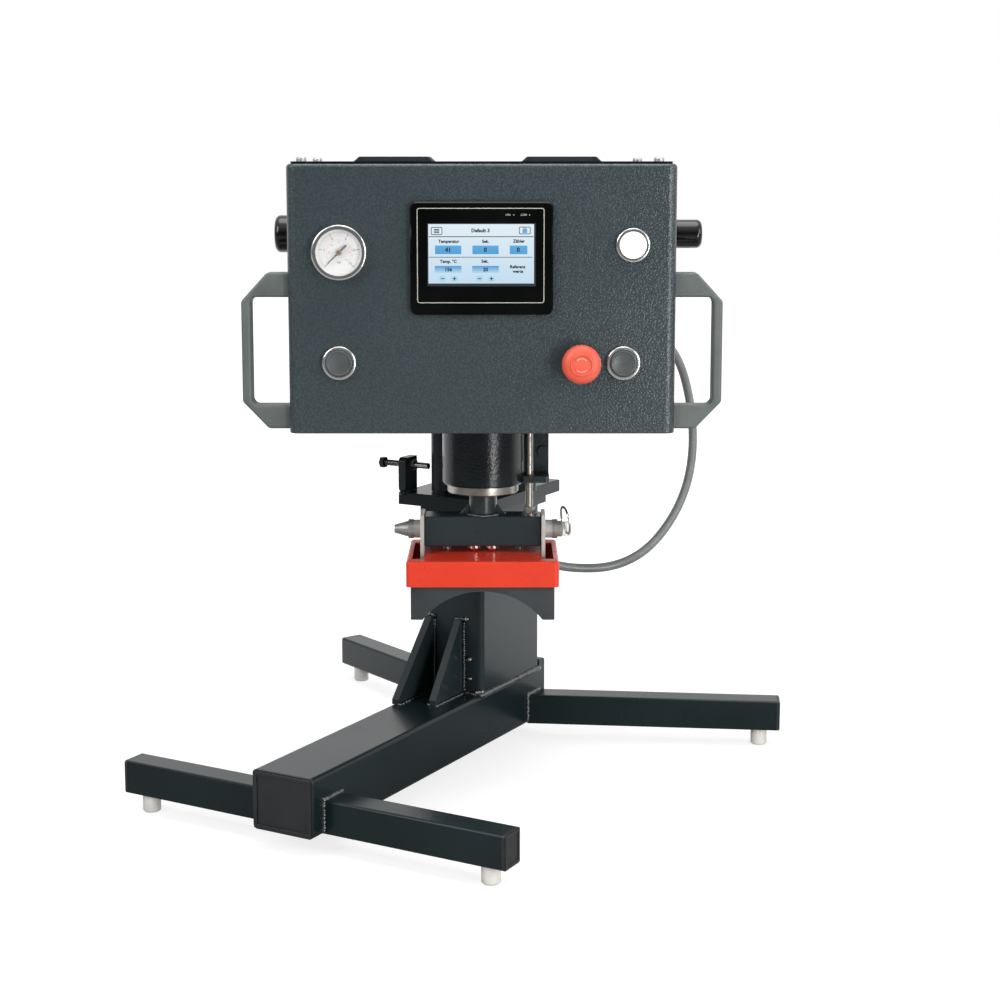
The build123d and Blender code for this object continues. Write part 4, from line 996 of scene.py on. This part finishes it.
near_brightness, room_dim, fill_light = 0.76, 0.08, 0.36
camera_ray, mirrored_ray = background_rays(paper_nodes, paper_links)
paper_place = paper_nodes.new("ShaderNodeTexCoord")
paper_distance = paper_nodes.new("ShaderNodeVectorMath")
paper_distance.operation = "LENGTH"
paper_links.new(paper_place.outputs["Object"], paper_distance.inputs[0])
paper_axes = paper_nodes.new("ShaderNodeSeparateXYZ")
paper_links.new(paper_place.outputs["Object"], paper_axes.inputs["Vector"])


def paper_ramp(measure, start, end):
    """From 0 to 1 as a place on the floor gets farther off."""
    ramp = paper_nodes.new("ShaderNodeMapRange")
    ramp.interpolation_type = "SMOOTHSTEP"
    ramp.inputs["From Min"].default_value = start
    ramp.inputs["From Max"].default_value = end
    paper_links.new(measure, ramp.inputs["Value"])
    return ramp.outputs["Result"]


far_away = paper_ramp(paper_distance.outputs["Value"], 0.3, 1.0)
far_white = node_sum(paper_nodes, paper_links, "MULTIPLY", far_away, camera_ray)
behind = paper_ramp(paper_axes.outputs["Y"], -0.1, 0.35)
beyond_white = node_sum(paper_nodes, paper_links, "MULTIPLY", behind, mirrored_ray)
near_lift = node_sum(paper_nodes, paper_links, "MULTIPLY", camera_ray, near_brightness)
seen_lift = node_sum(paper_nodes, paper_links, "MAXIMUM", far_white, near_lift)
paper_links.new(node_sum(paper_nodes, paper_links, "MAXIMUM", seen_lift, beyond_white),
                paper_shader.inputs["Emission Strength"])
floor.data.materials.append(floor_paper)

world = bpy.data.worlds.new("studio_air")
bpy.context.scene.world = world
world.use_nodes = True
world_nodes, world_links = world.node_tree.nodes, world.node_tree.links
air = world_nodes["Background"]
air.inputs["Color"].default_value = (1, 1, 1, 1)
world_camera_ray, world_mirrored_ray = background_rays(world_nodes, world_links)
air_way = world_nodes.new("ShaderNodeTexCoord")
air_axes = world_nodes.new("ShaderNodeSeparateXYZ")
world_links.new(air_way.outputs["Generated"], air_axes.inputs["Vector"])


def bright_towards(axis, start, end):
    """How bright the room looks along one axis: dim in front of the object, white beyond it."""
    room = world_nodes.new("ShaderNodeMapRange")
    room.inputs["From Min"].default_value = start
    room.inputs["From Max"].default_value = end
    room.inputs["To Min"].default_value = room_dim
    world_links.new(air_axes.outputs[axis], room.inputs["Value"])
    return room.outputs["Result"]


room_light = node_sum(world_nodes, world_links, "MAXIMUM", bright_towards("Y", -0.15, 0.35),
                      bright_towards("Z", 0.25, 0.8))
room_or_fill = world_nodes.new("ShaderNodeMix")
room_or_fill.inputs["A"].default_value = fill_light
world_links.new(world_mirrored_ray, room_or_fill.inputs["Factor"])
world_links.new(room_light, room_or_fill.inputs["B"])
seen_light = node_sum(world_nodes, world_links, "MAXIMUM", world_camera_ray, room_or_fill.outputs["Result"])
world_links.new(seen_light, air.inputs["Strength"])


def soft_lamp(name, place, target, width, height, power):
    """A large rectangular lamp that faces a point."""
    light = bpy.data.lights.new(name, "AREA")
    light.shape = "RECTANGLE"
    light.size = width
    light.size_y = height
    light.energy = power
    lamp = bpy.data.objects.new(name, light)
    bpy.context.scene.collection.objects.link(lamp)
    lamp.location = place
    lamp.rotation_euler = (Vector(target) - Vector(place)).to_track_quat("-Z", "Y").to_euler()


soft_lamp("left_softbox", (-2.2, -2.0, 1.9), (0, 0, 0.35), 1.6, 1.6, 47)
soft_lamp("right_softbox", (2.4, -1.4, 1.3), (0, 0, 0.3), 1.4, 1.4, 30)
soft_lamp("top_softbox", (0.1, -0.1, 2.6), (0, 0, 0.3), 1.8, 1.8, 38)
soft_lamp("strip_lamp", (1.25, -1.9, 0.46), (0, -0.15, 0.35), 0.4, 0.9, 13)
soft_lamp("barrel_lamp", (0.61, -1.3, 0.18), (0, -0.15, 0.3), 0.14, 0.3, 2.1)

camera_data = bpy.data.cameras.new("photograph_camera")
camera = bpy.data.objects.new("photograph_camera", camera_data)
bpy.context.scene.collection.objects.link(camera)
camera.location = (0.0159, -1.8488, 0.588)
camera.rotation_euler = (math.radians(90 - 7.95), 0, 0)
camera_data.sensor_width = 36
camera_data.lens = 66.56
camera_data.shift_y = -0.072
camera_data.clip_end = 40
bpy.context.scene.camera = camera
bpy.context.scene.view_settings.view_transform = "Standard"
